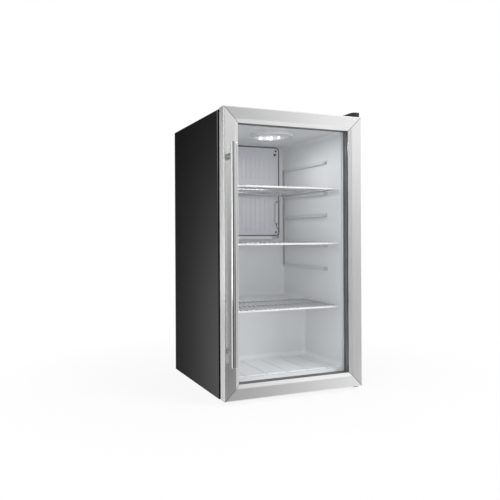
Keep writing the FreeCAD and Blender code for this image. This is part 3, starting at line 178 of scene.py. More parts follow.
# every surface pattern takes and gives the same values
surfaceEntries = [
    ("Light Tone", "Color", (0.8, 0.8, 0.8, 1)),
    ("Dark Tone", "Color", (0.6, 0.6, 0.6, 1)),
    ("Stretch", "Vector", (1, 1, 1)),
    ("Smooth", "Float", 0.3),
    ("Rough", "Float", 0.4),
]
surfaceExits = [("Color", "Color"), ("Roughness", "Float"), ("Height", "Float")]


def newPattern(name):
    group, entry, leave = newGroup(name, surfaceEntries, surfaceExits)
    where = addNode(group, "ShaderNodeTexCoord")
    stretch = addNode(group, "ShaderNodeMapping")
    wire(group, where, "Object", stretch, "Vector")
    wire(group, entry, "Stretch", stretch, "Scale")
    return group, entry, leave, where, stretch


def closePattern(group, leave, tone, rough, height, output):
    wire(group, tone, 2, leave, "Color")
    wire(group, rough, "Result", leave, "Roughness")
    wire(group, height, output, leave, "Height")
    return group


# fine parallel scratches over slow clouding
grainLook = {"detail": 4.0, "rough": 0.65, "cloudScale": 7.0, "cloudShare": 0.15, "contrast": (0.3, 0.7)}
def makeBrushedGrain(look):
    group, entry, leave, where, stretch = newPattern("brushedGrain")
    lines = noise(group, stretch, "Vector", 1.0, look["detail"], look["rough"])
    clouds = noise(group, where, "Object", look["cloudScale"])
    blend = addNode(group, "ShaderNodeMix", {0: look["cloudShare"]}, data_type="FLOAT")
    wire(group, lines, "Fac", blend, 2)
    wire(group, clouds, "Fac", blend, 3)
    low, high = look["contrast"]
    sharp = addNode(group, "ShaderNodeMapRange", {"From Min": low, "From Max": high})
    wire(group, blend, 0, sharp, "Value")
    tone = mixTones(group, sharp, "Result", entry, "Dark Tone", entry, "Light Tone")
    rough = spread(group, sharp, "Result", (entry, "Rough"), (entry, "Smooth"))
    return closePattern(group, leave, tone, rough, lines, "Fac")


# sprayed or moulded skin: small rounded pits and a slow drift of tone
skinLook = {"driftScale": 5.0, "driftDetail": 3.0}
def makeSprayedSkin(look):
    group, entry, leave, where, stretch = newPattern("sprayedSkin")
    pits = noise(group, stretch, "Vector", 1.0)
    drift = noise(group, where, "Object", look["driftScale"], look["driftDetail"])
    tone = mixTones(group, drift, "Fac", entry, "Dark Tone", entry, "Light Tone")
    rough = spread(group, pits, "Fac", (entry, "Smooth"), (entry, "Rough"))
    return closePattern(group, leave, tone, rough, pits, "Fac")


# zinc crystals, each with its own shade
def makeZincSpangle():
    group, entry, leave, _, stretch = newPattern("zincSpangle")
    cells = addNode(group, "ShaderNodeTexVoronoi", {"Scale": 1.0})
    wire(group, stretch, "Vector", cells, "Vector")
    shade = addNode(group, "ShaderNodeRGBToBW")
    wire(group, cells, "Color", shade, "Color")
    tone = mixTones(group, shade, "Val", entry, "Dark Tone", entry, "Light Tone")
    rough = spread(group, shade, "Val", (entry, "Rough"), (entry, "Smooth"))
    return closePattern(group, leave, tone, rough, cells, "Distance")


# settled dust on faces that look up, broken by noise
dustLook = {"tone": (0.3, 0.29, 0.27, 1), "amount": 0.2, "scale": 60.0, "detail": 5.0}
def makeDustFall(look):
    group, entry, leave = newGroup("dustFall", [
        ("Clean", "Color", (0, 0, 0, 1)), ("Dust", "Color", look["tone"]),
        ("Amount", "Float", look["amount"]),
    ], [("Color", "Color")])
    split = addNode(group, "ShaderNodeSeparateXYZ")
    wire(group, addNode(group, "ShaderNodeNewGeometry"), "Normal", split, "Vector")
    specks = noise(group, addNode(group, "ShaderNodeTexCoord"), "Object", look["scale"], look["detail"])
    broken = times(group, split, "Z", specks, "Fac")
    amount = times(group, broken, "Value", entry, "Amount")
    broken.use_clamp = amount.use_clamp = True
    tone = mixTones(group, amount, "Value", entry, "Clean", entry, "Dust")
    wire(group, tone, 2, leave, "Color")
    return group


brushedGrain = makeBrushedGrain(grainLook)
sprayedSkin = makeSprayedSkin(skinLook)
zincSpangle = makeZincSpangle()
dustFall = makeDustFall(dustLook)


# one surface finish: a pattern group into a Principled shader, with dust on top where it is asked for
def makeFinish(name, pattern, look):
    material, tree, shader = newMaterial(name, look.get("shader", {}))
    skin = addNode(tree, "ShaderNodeGroup", {
        "Light Tone": (*look["light"], 1), "Dark Tone": (*look["dark"], 1), "Stretch": look["stretch"],
        "Smooth": look["smooth"], "Rough": look["rough"],
    }, node_tree=pattern)
    wire(tree, skin, "Roughness", shader, "Roughness")
    tone = skin
    if look.get("dust"):
        tone = addNode(tree, "ShaderNodeGroup", {"Amount": look["dust"]}, node_tree=dustFall)
        wire(tree, skin, "Color", tone, "Clean")
    wire(tree, tone, "Color", shader, "Base Color")
    bump = addNode(tree, "ShaderNodeBump", {"Strength": look["bump"][0], "Distance": look["bump"][1]})
    wire(tree, skin, "Height", bump, "Height")
    wire(tree, bump, "Normal", shader, "Normal")
    if look.get("blurRound"):  # brushed sheet smears reflections across its grain
        across = addNode(tree, "ShaderNodeTangent", direction_type="RADIAL", axis=look["blurRound"])
        wire(tree, across, "Tangent", shader, "Tangent")
    return material


def dress(material, *names):
    for name in names:
        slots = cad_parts[name].data.materials
        slots.clear()
        slots.append(material)


# door steel: the grain runs along each rail and stile
steelLook = {
    "light": (0.89, 0.89, 0.89), "dark": (0.79, 0.79, 0.795), "stretch": (900, 900, 9), "blurRound": "Z",
    "smooth": 0.22, "rough": 0.28, "bump": (0.03, 0.0001), "shader": {"Metallic": 1.0, "Anisotropic": 0.75},
}
stileSteel = makeFinish("stileSteel", brushedGrain, steelLook)
railLook = {
    **steelLook, "stretch": (9, 900, 900), "blurRound": "X", "smooth": 0.26, "rough": 0.34,
    "shader": {"Metallic": 1.0, "Anisotropic": 0.85},
}
railSteel = makeFinish("railSteel", brushedGrain, railLook)
dress(railSteel, "door_rail_top", "door_rail_bottom")
dress(stileSteel, "door_stile_handle", "door_stile_hinge")

handleLook = {
    "light": (0.75, 0.75, 0.75), "dark": (0.61, 0.61, 0.62), "stretch": (1200, 1200, 14),
    "smooth": 0.11, "rough": 0.14, "bump": (0.02, 0.0001), "shader": {"Metallic": 1.0},
}
handleSteel = makeFinish("handleSteel", brushedGrain, handleLook)
dress(handleSteel, "handle_bar")

postLook = {
    "light": (0.40, 0.40, 0.405), "dark": (0.30, 0.30, 0.305), "stretch": (900, 900, 900),
    "smooth": 0.28, "rough": 0.40, "bump": (0.06, 0.0002), "shader": {"Metallic": 0.9},
}
dress(makeFinish("postMetal", sprayedSkin, postLook), "handle_posts")

# cabinet: satin black coil-coated sheet
cabinetLook = {
    "light": (0.011, 0.011, 0.012), "dark": (0.006, 0.006, 0.007), "stretch": (420, 420, 420),
    "smooth": 0.11, "rough": 0.17, "bump": (0.08, 0.0002), "dust": 0.05,
    "shader": {"Specular IOR Level": 0.35},
}
cabinetPaint = makeFinish("cabinetPaint", sprayedSkin, cabinetLook)


# a painted highlight runs pale along the front fold of the sheet, and the flange behind the door is painted
# near black and matte as the shade in the gap
foldHighlightLook = {
    "edge": (0.2225, 0.2235), "line": (-0.1775, -0.1745), "height": (0.45, 0.80), "soft": 0.0004,
    "highlightTone": (0.26, 0.26, 0.27), "flange": (-0.1784, -0.1779), "matte": (0.002, 0.002, 0.002), "dull": 1.0,
}
def addFoldHighlightAndGapShade(material, look):
    tree = material.node_tree
    shader = tree.nodes["Principled BSDF"]
    split = axes(tree)
    edge = ease(tree, distance(tree, split, "X", 0.0), "Value", *look["edge"], 0.0, 1.0)
    line = band(tree, split, "Y", *look["line"], look["soft"])
    height = ease(tree, split, "Z", *look["height"], 0.0, 1.0)
    # painted highlight along the fold's rounded edge
    paintedHighlight = combine(tree, "MULTIPLY", edge, line, height)
    # painted shade: the flange behind the door is made near black
    flange = ease(tree, split, "Y", *look["flange"], 1.0, 0.0)
    tone = shader.inputs["Base Color"].links[0].from_socket
    for mask, output, key in ((paintedHighlight, "Value", "highlightTone"), (flange, "Result", "matte")):
        tone = paintOver(tree, tone, mask.outputs[output], look[key])
    tree.links.new(tone, shader.inputs["Base Color"])
    skin = shader.inputs["Roughness"].links[0].from_node
    dull = spread(tree, flange, "Result", (skin, "Roughness"), look["dull"])
    wire(tree, dull, "Result", shader, "Roughness")


addFoldHighlightAndGapShade(cabinetPaint, foldHighlightLook)
dress(cabinetPaint, "cabinet_wrap", "top_hinge_bracket", "bottom_hinge_bracket")

zincLook = {
    "light": (0.52, 0.53, 0.54), "dark": (0.36, 0.37, 0.38), "stretch": (90, 90, 90),
    "smooth": 0.32, "rough": 0.5, "bump": (0.05, 0.0003), "dust": 0.25, "shader": {"Metallic": 0.85},
}
zincSheet = makeFinish("zincSheet", zincSpangle, zincLook)
dress(zincSheet, "rear_panel", "bay_shroud", "floor_pan", "compressor_tray", "control_plate")

foamLook = {
    "light": (0.86, 0.80, 0.58), "dark": (0.74, 0.66, 0.44), "stretch": (260, 260, 260),
    "smooth": 0.8, "rough": 0.95, "bump": (0.5, 0.001),
}
dress(makeFinish("foamCore", sprayedSkin, foamLook), "insulation")

# inner tub: pale, faintly blue polystyrene with a soft sheen
linerLook = {
    "light": (0.765, 0.785, 0.80), "dark": (0.715, 0.735, 0.75), "stretch": (300, 300, 300),
    "smooth": 0.42, "rough": 0.55, "bump": (0.06, 0.0003),
}
linerPlastic = makeFinish("linerPlastic", sprayedSkin, linerLook)
dress(linerPlastic, "drip_gutter", "lamp_base", "evaporator_standoffs", "sensor_clip")

# painted shade: thin darker bands along the tub's ledges and rear posts, darkest on the ledges' round ends;
# painted light: the tub floor is painted paler
ledgeShadeLook = {
    "levels": (0.2465, 0.3665, 0.4415, 0.5395, 0.6105, 0.7095), "half": 0.0062, "soft": 0.001,
    "wall": (0.158, 0.162),
    "ledge": (-0.0975, 0.1970), "ledgeTone": (0.62, 0.64, 0.655),
    "nose": (-0.0990, -0.0850), "noseTone": (0.50, 0.515, 0.53),
    "post": (0.1965, 0.2040), "postReach": (0.362, 0.714), "postTone": (0.30, 0.31, 0.32),
    "floor": (0.074, 0.082, 0.5, 0.0), "floorTone": (0.92, 0.93, 0.94),
}
def addLedgeShadeAndFloorLight(material, look):
    tree = material.node_tree
    shader = tree.nodes["Principled BSDF"]
    split = axes(tree)
    half, soft = look["half"], look["soft"]
    wall = ease(tree, distance(tree, split, "X", 0.0), "Value", *look["wall"], 0.0, 1.0)
    rows = [band(tree, split, "Z", level - half, level + half, soft) for level in look["levels"]]
    onWall = times(tree, combine(tree, "MAXIMUM", *rows), "Value", wall, "Result")
    post = combine(tree, "MULTIPLY", band(tree, split, "Z", *look["postReach"], soft), wall)
    tone = shader.inputs["Base Color"].links[0].from_socket
    # painted shade on the ledges, their round ends and the rear posts
    for key, mask in (("ledge", onWall), ("nose", onWall), ("post", post)):
        share = times(tree, band(tree, split, "Y", *look[key], soft), "Result", mask, "Value")
        tone = paintOver(tree, tone, share.outputs["Value"], look[key + "Tone"])
    # painted light: the floor of the tub is made paler
    floor = ease(tree, split, "Z", *look["floor"])
    tone = paintOver(tree, tone, floor.outputs["Result"], look["floorTone"])
    tree.links.new(tone, shader.inputs["Base Color"])


tubPlastic = makeFinish("tubPlastic", sprayedSkin, linerLook)
addLedgeShadeAndFloorLight(tubPlastic, ledgeShadeLook)
dress(tubPlastic, "inner_liner")

evaporatorLook = {
    "light": (0.74, 0.75, 0.79), "dark": (0.66, 0.67, 0.71), "stretch": (200, 200, 200),
    "smooth": 0.34, "rough": 0.5, "bump": (0.1, 0.0003), "shader": {"Metallic": 0.25},
}
dress(makeFinish("evaporatorCoat", sprayedSkin, evaporatorLook), "evaporator_plate")

enamelLook = {
    "light": (0.022, 0.022, 0.024), "dark": (0.014, 0.014, 0.015), "stretch": (150, 150, 150),
    "smooth": 0.18, "rough": 0.30, "bump": (0.1, 0.0004), "dust": 0.3, "shader": {"Coat Weight": 0.4},
}
enamelBlack = makeFinish("enamelBlack", sprayedSkin, enamelLook)
dress(enamelBlack, "compressor_can", "compressor_base", "condenser_coil", "condenser_wires")

sealLook = {
    "light": (0.80, 0.81, 0.82), "dark": (0.72, 0.73, 0.74), "stretch": (500, 500, 500),
    "smooth": 0.55, "rough": 0.72, "bump": (0.12, 0.0003),
}
sealRubber = makeFinish("sealRubber", sprayedSkin, sealLook)
dress(sealRubber, "door_gasket")
footLook = {**sealLook, "light": (0.03, 0.03, 0.03), "dark": (0.018, 0.018, 0.018)}
footRubber = makeFinish("footRubber", sprayedSkin, footLook)
# near-black rubber for the seal's outer lip: painted shade for the deep gap between door and cabinet
lipShadeLook = {
    **footLook, "light": (0.008, 0.008, 0.008), "dark": (0.004, 0.004, 0.004),
    "shader": {"Specular IOR Level": 0.2},
}
lipShadeRubber = makeFinish("lipShadeRubber", sprayedSkin, lipShadeLook)
dress(footRubber, "compressor_grommets", "cord_gland", "rear_feet", "front_foot_left", "front_foot_right")

blackLook = {
    "light": (0.024, 0.024, 0.026), "dark": (0.015, 0.015, 0.016), "stretch": (1400, 1400, 1400),
    "smooth": 0.40, "rough": 0.58, "bump": (0.25, 0.0002), "dust": 0.12,
}
blackPlastic = makeFinish("blackPlastic", sprayedSkin, blackLook)
dress(blackPlastic, "hinge_cover", "relay_box", "thermostat_body", "thermostat_knob", "condenser_brackets",
      "foot_sockets", "corner_keys", "hinge_bushes")

darkLook = {
    "light": (0.085, 0.087, 0.092), "dark": (0.06, 0.062, 0.066), "stretch": (900, 900, 900),
    "smooth": 0.35, "rough": 0.5, "bump": (0.12, 0.0002),
}
dress(makeFinish("darkPlastic", sprayedSkin, darkLook), "door_liner")

spacerLook = {
    "light": (0.15, 0.154, 0.16), "dark": (0.11, 0.113, 0.118), "stretch": (700, 700, 700),
    "smooth": 0.3, "rough": 0.45, "bump": (0.08, 0.0002), "shader": {"Metallic": 0.5},
}
dress(makeFinish("spacerBar", brushedGrain, spacerLook), "glass_spacer")

copperLook = {
    "light": (0.72, 0.36, 0.22), "dark": (0.48, 0.22, 0.12), "stretch": (60, 60, 60),
    "smooth": 0.25, "rough": 0.42, "bump": (0.08, 0.0003), "dust": 0.15, "shader": {"Metallic": 1.0},
}
dress(makeFinish("copperPipe", sprayedSkin, copperLook), "discharge_pipe", "suction_pipe", "filter_drier",
      "capillary_tube")
sensorLook = {
    **copperLook, "light": (0.06, 0.06, 0.065), "dark": (0.035, 0.035, 0.04), "shader": {"Metallic": 0.3},
}
dress(makeFinish("sensorMetal", sprayedSkin, sensorLook), "sensor_tube")

screwLook = {
    "light": (0.50, 0.50, 0.51), "dark": (0.36, 0.36, 0.37), "stretch": (400, 400, 400),
    "smooth": 0.25, "rough": 0.4, "bump": (0.1, 0.0002), "shader": {"Metallic": 1.0},
}
screwZinc = makeFinish("screwZinc", sprayedSkin, screwLook)
darkScrewLook = {**screwLook, "light": (0.07, 0.07, 0.075), "dark": (0.04, 0.04, 0.045)}
screwBlack = makeFinish("screwBlack", sprayedSkin, darkScrewLook)
dress(screwZinc, "compressor_bolts", "rear_screws", "evaporator_screws", "hinge_screws", "top_hinge_pin",
      "bottom_hinge_pin")

# shelves: bright plated wire
wireLook = {
    "light": (0.62, 0.62, 0.63), "dark": (0.48, 0.48, 0.49), "stretch": (120, 120, 120),
    "smooth": 0.10, "rough": 0.20, "bump": (0.05, 0.0002), "shader": {"Metallic": 1.0},
    # the front rail's tone and metal setting make a painted highlight
    "frontEdge": (-0.1715, -0.1685), "frontHighlightTone": (0.97, 0.97, 0.97), "frontHighlightMetal": 0.25,
}
shelfPlating = makeFinish("shelfPlating", sprayedSkin, wireLook)


# painted highlight: the front rail is painted paler and less metallic than the wires behind it
def addFrontRailHighlight(material, look):
    tree = material.node_tree
    shader = tree.nodes["Principled BSDF"]
    front = ease(tree, axes(tree), "Y", *look["frontEdge"], 1.0, 0.0)
    tone = shader.inputs["Base Color"].links[0].from_socket
    tone = paintOver(tree, tone, front.outputs["Result"], look["frontHighlightTone"])
    tree.links.new(tone, shader.inputs["Base Color"])
    metal = spread(tree, front, "Result", 1.0, look["frontHighlightMetal"])
    wire(tree, metal, "Result", shader, "Metallic")


addFrontRailHighlight(shelfPlating, wireLook)
dress(shelfPlating, "shelf_upper", "shelf_middle", "shelf_lower")

boardLook = {
    "light": (0.82, 0.83, 0.80), "dark": (0.70, 0.71, 0.68), "stretch": (300, 300, 300),
    "smooth": 0.35, "rough": 0.5, "bump": (0.05, 0.0002),
}
dress(makeFinish("boardMask", sprayedSkin, boardLook), "led_board")


# clear parts let light straight through and turn milky at a grazing look
def makeClear(name, look):
    material, tree, shader = newMaterial(name, look["shader"])
    haze = noise(tree, addNode(tree, "ShaderNodeTexCoord"), "Object", look["hazeScale"], look["hazeDetail"])
    rough = spread(tree, haze, "Fac", look["smooth"], look["rough"])
    wire(tree, rough, "Result", shader, "Roughness")
    tint = blendTones(tree, haze, "Fac", look["dark"], look["light"])
    wire(tree, tint, "Color", shader, "Base Color")
    # the film is the same from both sides of a pane
    edge = addNode(tree, "ShaderNodeMath", {1: look["edgePower"]}, operation="POWER")
    wire(tree, addNode(tree, "ShaderNodeLayerWeight", {"Blend": 0.5}), "Facing", edge, 0)
    film = spread(tree, edge, "Value", look["clear"], look["grazing"])
    path = addNode(tree, "ShaderNodeLightPath")
    lightRay = pair(tree, path, "Is Shadow Ray", path, "Is Diffuse Ray", "MAXIMUM")
    seen = spread(tree, lightRay, "Value", (film, "Result"), 0.0)
    wire(tree, seen, "Result", shader, "Alpha")
    return material


paneLook = {
    "light": (0.56, 0.58, 0.59), "dark": (0.48, 0.50, 0.51), "smooth": 0.02, "rough": 0.05,
    "hazeScale": 9.0, "hazeDetail": 4.0, "clear": 0.028, "grazing": 0.5, "edgePower": 5.0,
    "shader": {"Specular IOR Level": 0.8},
}
dress(makeClear("paneGlass", paneLook), "outer_glass", "inner_glass")
lensLook = {
    **paneLook, "light": (0.82, 0.83, 0.85), "dark": (0.68, 0.69, 0.72), "smooth": 0.08, "rough": 0.2,
    "hazeScale": 160.0, "clear": 0.83, "grazing": 1.0,
    "shader": {"Specular IOR Level": 0.6, "Emission Strength": 1.3},
    "sparkleTurn": 23.6, "sparkleEdge": (0.2, 1.05),
    "sparkles": [  # place, reach and strength of each light point seen in the prisms
        ((-0.0093, -0.034, 0.784), (0.0090, 0.058, 0.03), 1.0),
        ((0.0135, -0.044, 0.784), (0.0070, 0.050, 0.03), 0.9),
        ((0.0240, -0.040, 0.784), (0.0080, 0.064, 0.03), 1.0),
        ((0.0470, -0.054, 0.784), (0.0062, 0.044, 0.03), 0.85),
        ((0.0200, -0.045, 0.784), (0.056, 0.066, 0.03), 0.26),
    ],
}
lensPlastic = makeClear("lensPlastic", lensLook)


# the prisms over the light points catch their light
def addLensGlow(material, look):
    tree = material.node_tree
    shader = tree.nodes["Principled BSDF"]
    turned = addNode(tree, "ShaderNodeMapping", {"Rotation": (0, 0, math.radians(look["sparkleTurn"]))})
    wire(tree, addNode(tree, "ShaderNodeTexCoord"), "Object", turned, "Vector")
    spots = []
    for place, reach, strength in look["sparkles"]:
        centre = addNode(tree, "ShaderNodeVectorMath", {1: place}, operation="SUBTRACT")
        wire(tree, turned, "Vector", centre, 0)
        scaled = addNode(tree, "ShaderNodeVectorMath", {1: reach}, operation="DIVIDE")
        wire(tree, centre, "Vector", scaled, 0)
        away = addNode(tree, "ShaderNodeVectorMath", operation="LENGTH")
        wire(tree, scaled, "Vector", away, 0)
        spots.append(ease(tree, away, "Value", *look["sparkleEdge"], strength, 0.0))
    fade = combine(tree, "MAXIMUM", *spots)
    tint = blendTones(tree, fade, "Value", (0, 0, 0), (1, 1, 1))
    wire(tree, tint, "Color", shader, "Emission Color")
    film = shader.inputs["Alpha"].links[0].from_node
    solid = pair(tree, film, "Result", fade, "Value", "MAXIMUM")
    wire(tree, solid, "Value", shader, "Alpha")


addLensGlow(lensPlastic, lensLook)
dress(lensPlastic, "lamp_lens")


# light points behind the lens
ledLook = {"core": (1.0, 1.0, 1.0), "rim": (0.93, 0.95, 0.88), "strength": 6.0, "grain": 300.0}
def makeLedGlow(look):
    material, tree, shader = newMaterial("ledGlow", {"Emission Strength": look["strength"]})
    spots = noise(tree, addNode(tree, "ShaderNodeTexCoord"), "Object", look["grain"])
    tint = blendTones(tree, spots, "Fac", look["rim"], look["core"])
    for entry in ("Base Color", "Emission Color"):
        wire(tree, tint, "Color", shader, entry)
    return material


dress(makeLedGlow(ledLook), "lamp_leds")
print("finishes done:", len(bpy.data.materials))


# camera, from the photo's vanishing lines
cameraLook = {
    "place": (-0.8235, -1.77345, 0.4773), "yaw": 23.604, "roll": -0.283, "lens": 43.24, "shift": -0.0306,
    "sensor": 36, "farthest": 50,
}
def placeCamera(look):
    data = bpy.data.cameras.new("viewCamera")
    data.sensor_width = look["sensor"]
    data.lens = look["lens"]
    data.shift_y = look["shift"]
    data.clip_end = look["farthest"]
    camera = bpy.data.objects.new("viewCamera", data)
    scene.collection.objects.link(camera)
    turn = Matrix.Rotation(-math.radians(look["yaw"]), 4, "Z") @ Matrix.Rotation(math.radians(90), 4, "X")
    turn = turn @ Matrix.Rotation(math.radians(look["roll"]), 4, "Z")
    camera.matrix_world = Matrix.Translation(look["place"]) @ turn
    scene.camera = camera


placeCamera(cameraLook)


# geometry helpers

def newPiece(name, mesh, material, body, smooth=True):
    for face in mesh.polygons:
        face.use_smooth = smooth
    mesh.materials.clear()
    mesh.materials.append(material)
    piece = bpy.data.objects.new(name, mesh)
    scene.collection.objects.link(piece)
    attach(piece, body)
    return piece


def tidyMesh(name, build):
    mesh = bpy.data.meshes.new(name)
    bmesh.ops.remove_doubles(build, verts=build.verts, dist=1e-6)
    bmesh.ops.recalc_face_normals(build, faces=build.faces)
    build.to_mesh(mesh)
    build.free()
    return mesh


# closed solid between two matching outlines
def joinEnds(name, first, second):
    build = bmesh.new()
    ends = [[build.verts.new(spot) for spot in outline] for outline in (first, second)]
    for end in ends:
        build.faces.new(end)
    for index in range(len(first)):
        after = (index + 1) % len(first)
        build.faces.new((ends[0][index], ends[0][after], ends[1][after], ends[1][index]))
    return tidyMesh(name, build)


def newTree(name, entries):
    tree = bpy.data.node_groups.new(name, "GeometryNodeTree")
    tree.interface.new_socket("Geometry", in_out="INPUT", socket_type="NodeSocketGeometry")
    for label, kind, value in entries:
        socket = tree.interface.new_socket(label, in_out="INPUT", socket_type="NodeSocket" + kind)
        if value is not None:
            socket.default_value = value
    tree.interface.new_socket("Geometry", in_out="OUTPUT", socket_type="NodeSocketGeometry")
    return tree, tree.nodes.new("NodeGroupInput"), tree.nodes.new("NodeGroupOutput")


# one shape on each point, with the points moved to their centre
def setOnPoints(tree, entry, points, output, shape):
    shift = addNode(tree, "GeometryNodeTransform")
    wire(tree, points, output, shift, "Geometry")
    wire(tree, entry, "Centre", shift, "Translation")
    spots = addNode(tree, "GeometryNodeInstanceOnPoints")
    wire(tree, shift, "Geometry", spots, "Points")
    wire(tree, shape, "Mesh", spots, "Instance")
    return spots


# instances become real faces with their finish, as every tree ends
def closeTree(tree, entry, leave, spots):
    real = addNode(tree, "GeometryNodeRealizeInstances")
    paint = addNode(tree, "GeometryNodeSetMaterial")
    wire(tree, spots, "Instances", real, "Geometry")
    wire(tree, real, "Geometry", paint, "Geometry")
    wire(tree, entry, "Finish", paint, "Material")
    wire(tree, paint, "Geometry", leave, "Geometry")


# runs a tree on its own holder and keeps the result as a plain mesh
def grow(name, tree, values, start=None):
    holder = bpy.data.objects.new(name + "Holder", start or bpy.data.meshes.new(name + "Start"))
    scene.collection.objects.link(holder)
    modifier = holder.modifiers.new("grow", "NODES")
    modifier.node_group = tree
    for item in tree.interface.items_tree:
        if item.in_out == "INPUT" and item.name in values:
            modifier[item.identifier] = values[item.name]
    bpy.context.view_layer.update()
    evaluated = holder.evaluated_get(bpy.context.evaluated_depsgraph_get())
    mesh = bpy.data.meshes.new_from_object(evaluated)
    mesh.name = name
    holder.modifiers.remove(modifier)
    bpy.data.objects.remove(holder)
    return mesh


# closed band: a profile of (outward, along axis) points swept round a rounded rectangle in the X-Z plane
def sweepFrame(name, look, profile, middle=0.0):
    build = bmesh.new()
    rings = []
    corner, steps = look["corner"], look["steps"]
    across, low, high = look["half"] - corner, look["low"] + corner, look["high"] - corner
    centres = [(across, high, 0), (-across, high, 90), (-across, low, 180), (across, low, 270)]
    for x, z, start in centres:
        for step in range(steps + 1):
            angle = math.radians(start + 90 * step / steps)
            out = Vector((math.cos(angle), 0, math.sin(angle)))
            spot = Vector((x + middle, look["plane"], z)) + out * corner
            rings.append([build.verts.new(spot + out * u + Vector((0, v, 0))) for u, v in profile])
    for first, second in zip(rings, rings[1:] + rings[:1]):
        for index in range(len(profile)):
            after = (index + 1) % len(profile)
            build.faces.new((first[index], first[after], second[after], second[index]))
    return tidyMesh(name, build)


# weld nuggets where the shelf wires cross the rails
nuggetLook = {"reach": 0.0022, "span": 0.325, "wires": 22, "lift": 0.0021, "front": -0.17625}
shelfRows = [
    ("upper_shelf", "shelf_upper", 0.61780, 0.18775, 4),
    ("middle_shelf", "shelf_middle", 0.44880, 0.18775, 4),
    ("lower_shelf", "shelf_lower", 0.25380, 0.04675, 3),
]
def makeNuggetTree():
    tree, entry, leave = newTree("weldNuggets", [
        ("Span", "Float", 0.3), ("Reach Back", "Float", 0.3), ("Wires", "Int", 22), ("Rails", "Int", 3),
        ("Centre", "Vector", (0, 0, 0)), ("Nugget", "Float", 0.002), ("Finish", "Material", None),
    ])
    grid = addNode(tree, "GeometryNodeMeshGrid")
    feed(tree, entry, grid, ("Span", "Size X"), ("Reach Back", "Size Y"), ("Wires", "Vertices X"),
         ("Rails", "Vertices Y"))
    ball = addNode(tree, "GeometryNodeMeshIcoSphere", {"Subdivisions": 2})
    wire(tree, entry, "Nugget", ball, "Radius")
    closeTree(tree, entry, leave, setOnPoints(tree, entry, grid, "Mesh", ball))
    return tree


nuggetTree = makeNuggetTree()
for body, node, height, rear, rails in shelfRows:
    front = nuggetLook["front"]
    mesh = grow(node + "Nuggets", nuggetTree, {
        "Span": nuggetLook["span"], "Reach Back": rear - front, "Wires": nuggetLook["wires"], "Rails": rails,
        "Centre": (0, (front + rear) / 2, height + nuggetLook["lift"]), "Nugget": nuggetLook["reach"],
        "Finish": shelfPlating,
    })
    newPiece(node + "Nuggets", mesh, shelfPlating, body)


# pan-head screws with a cross recess
screwHeadLook = {
    "segments": 32, "rings": 9, "crown": 0.86, "slotHalf": 0.16, "slotReach": 0.62, "slotDepth": 0.42,
}
def makeScrewHead(look):
    build = bmesh.new()
    rings = []
    for ring in range(1, look["rings"] + 1):
        share = ring / look["rings"]
        row = []
        for step in range(look["segments"]):
            angle = math.tau * step / look["segments"]
            x, y = share * math.cos(angle), share * math.sin(angle)
            height = math.sqrt(max(0.0, 1 - (look["crown"] * share) ** 2))
            near, far = sorted((abs(x), abs(y)))
            if near < look["slotHalf"] and far < look["slotReach"]:
                height -= look["slotDepth"]
            row.append(build.verts.new((x, y, height)))
        rings.append(row)
    centre = build.verts.new((0, 0, 1 - look["slotDepth"]))
    foot = [build.verts.new((vert.co.x, vert.co.y, 0)) for vert in rings[-1]]
    rings.append(foot)
    for step in range(look["segments"]):
        after = (step + 1) % look["segments"]
        build.faces.new((centre, rings[0][step], rings[0][after]))
        for inner, outer in zip(rings, rings[1:]):
            build.faces.new((inner[step], outer[step], outer[after], inner[after]))
    build.faces.new(foot)
    return tidyMesh("screwHead", build)


def makeScrewTree():
    tree, entry, leave = newTree("screwField", [
        ("Head", "Object", None), ("Turn", "Rotation", (0, 0, 0)), ("Size", "Vector", (1, 1, 1)),
        ("Finish", "Material", None),
    ])
    head = addNode(tree, "GeometryNodeObjectInfo")
    wire(tree, entry, "Head", head, "Object")
    spots = addNode(tree, "GeometryNodeInstanceOnPoints")
    feed(tree, entry, spots, ("Geometry", "Points"), ("Turn", "Rotation"), ("Size", "Scale"))
    wire(tree, head, "Geometry", spots, "Instance")
    closeTree(tree, entry, leave, spots)
    return tree


def pointMesh(name, points):
    mesh = bpy.data.meshes.new(name)
    mesh.from_pydata(points, [], [])
    return mesh


screwRows = [
    {"name": "rearScrewHeads", "node": "rear_screws", "turn": -90, "size": (0.004, 0.004, 0.002),
     "side": 0.213, "plane": 0.24725, "heights": (0.233, 0.429, 0.625, 0.821), "finish": screwZinc},
    {"name": "plateScrewHeads", "node": "evaporator_screws", "turn": 90, "size": (0.004, 0.004, 0.0022),
     "side": 0.141, "plane": 0.19725, "heights": (0.486, 0.781), "finish": screwBlack},
]
screwTree = makeScrewTree()
screwHead = bpy.data.objects.new("screwHead", makeScrewHead(screwHeadLook))
scene.collection.objects.link(screwHead)
for row in screwRows:
    turn = Matrix.Rotation(math.radians(row["turn"]), 3, "X").to_euler()
    points = [(x, row["plane"], z) for x in (-row["side"], row["side"]) for z in row["heights"]]
    mesh = grow(row["name"], screwTree, {
        "Head": screwHead, "Turn": turn, "Size": row["size"], "Finish": row["finish"],
    }, pointMesh(row["name"] + "Points", points))
    piece = newPiece(row["name"], mesh, row["finish"], "cabinet", smooth=False)
    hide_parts(row["node"])
bpy.data.objects.remove(screwHead)


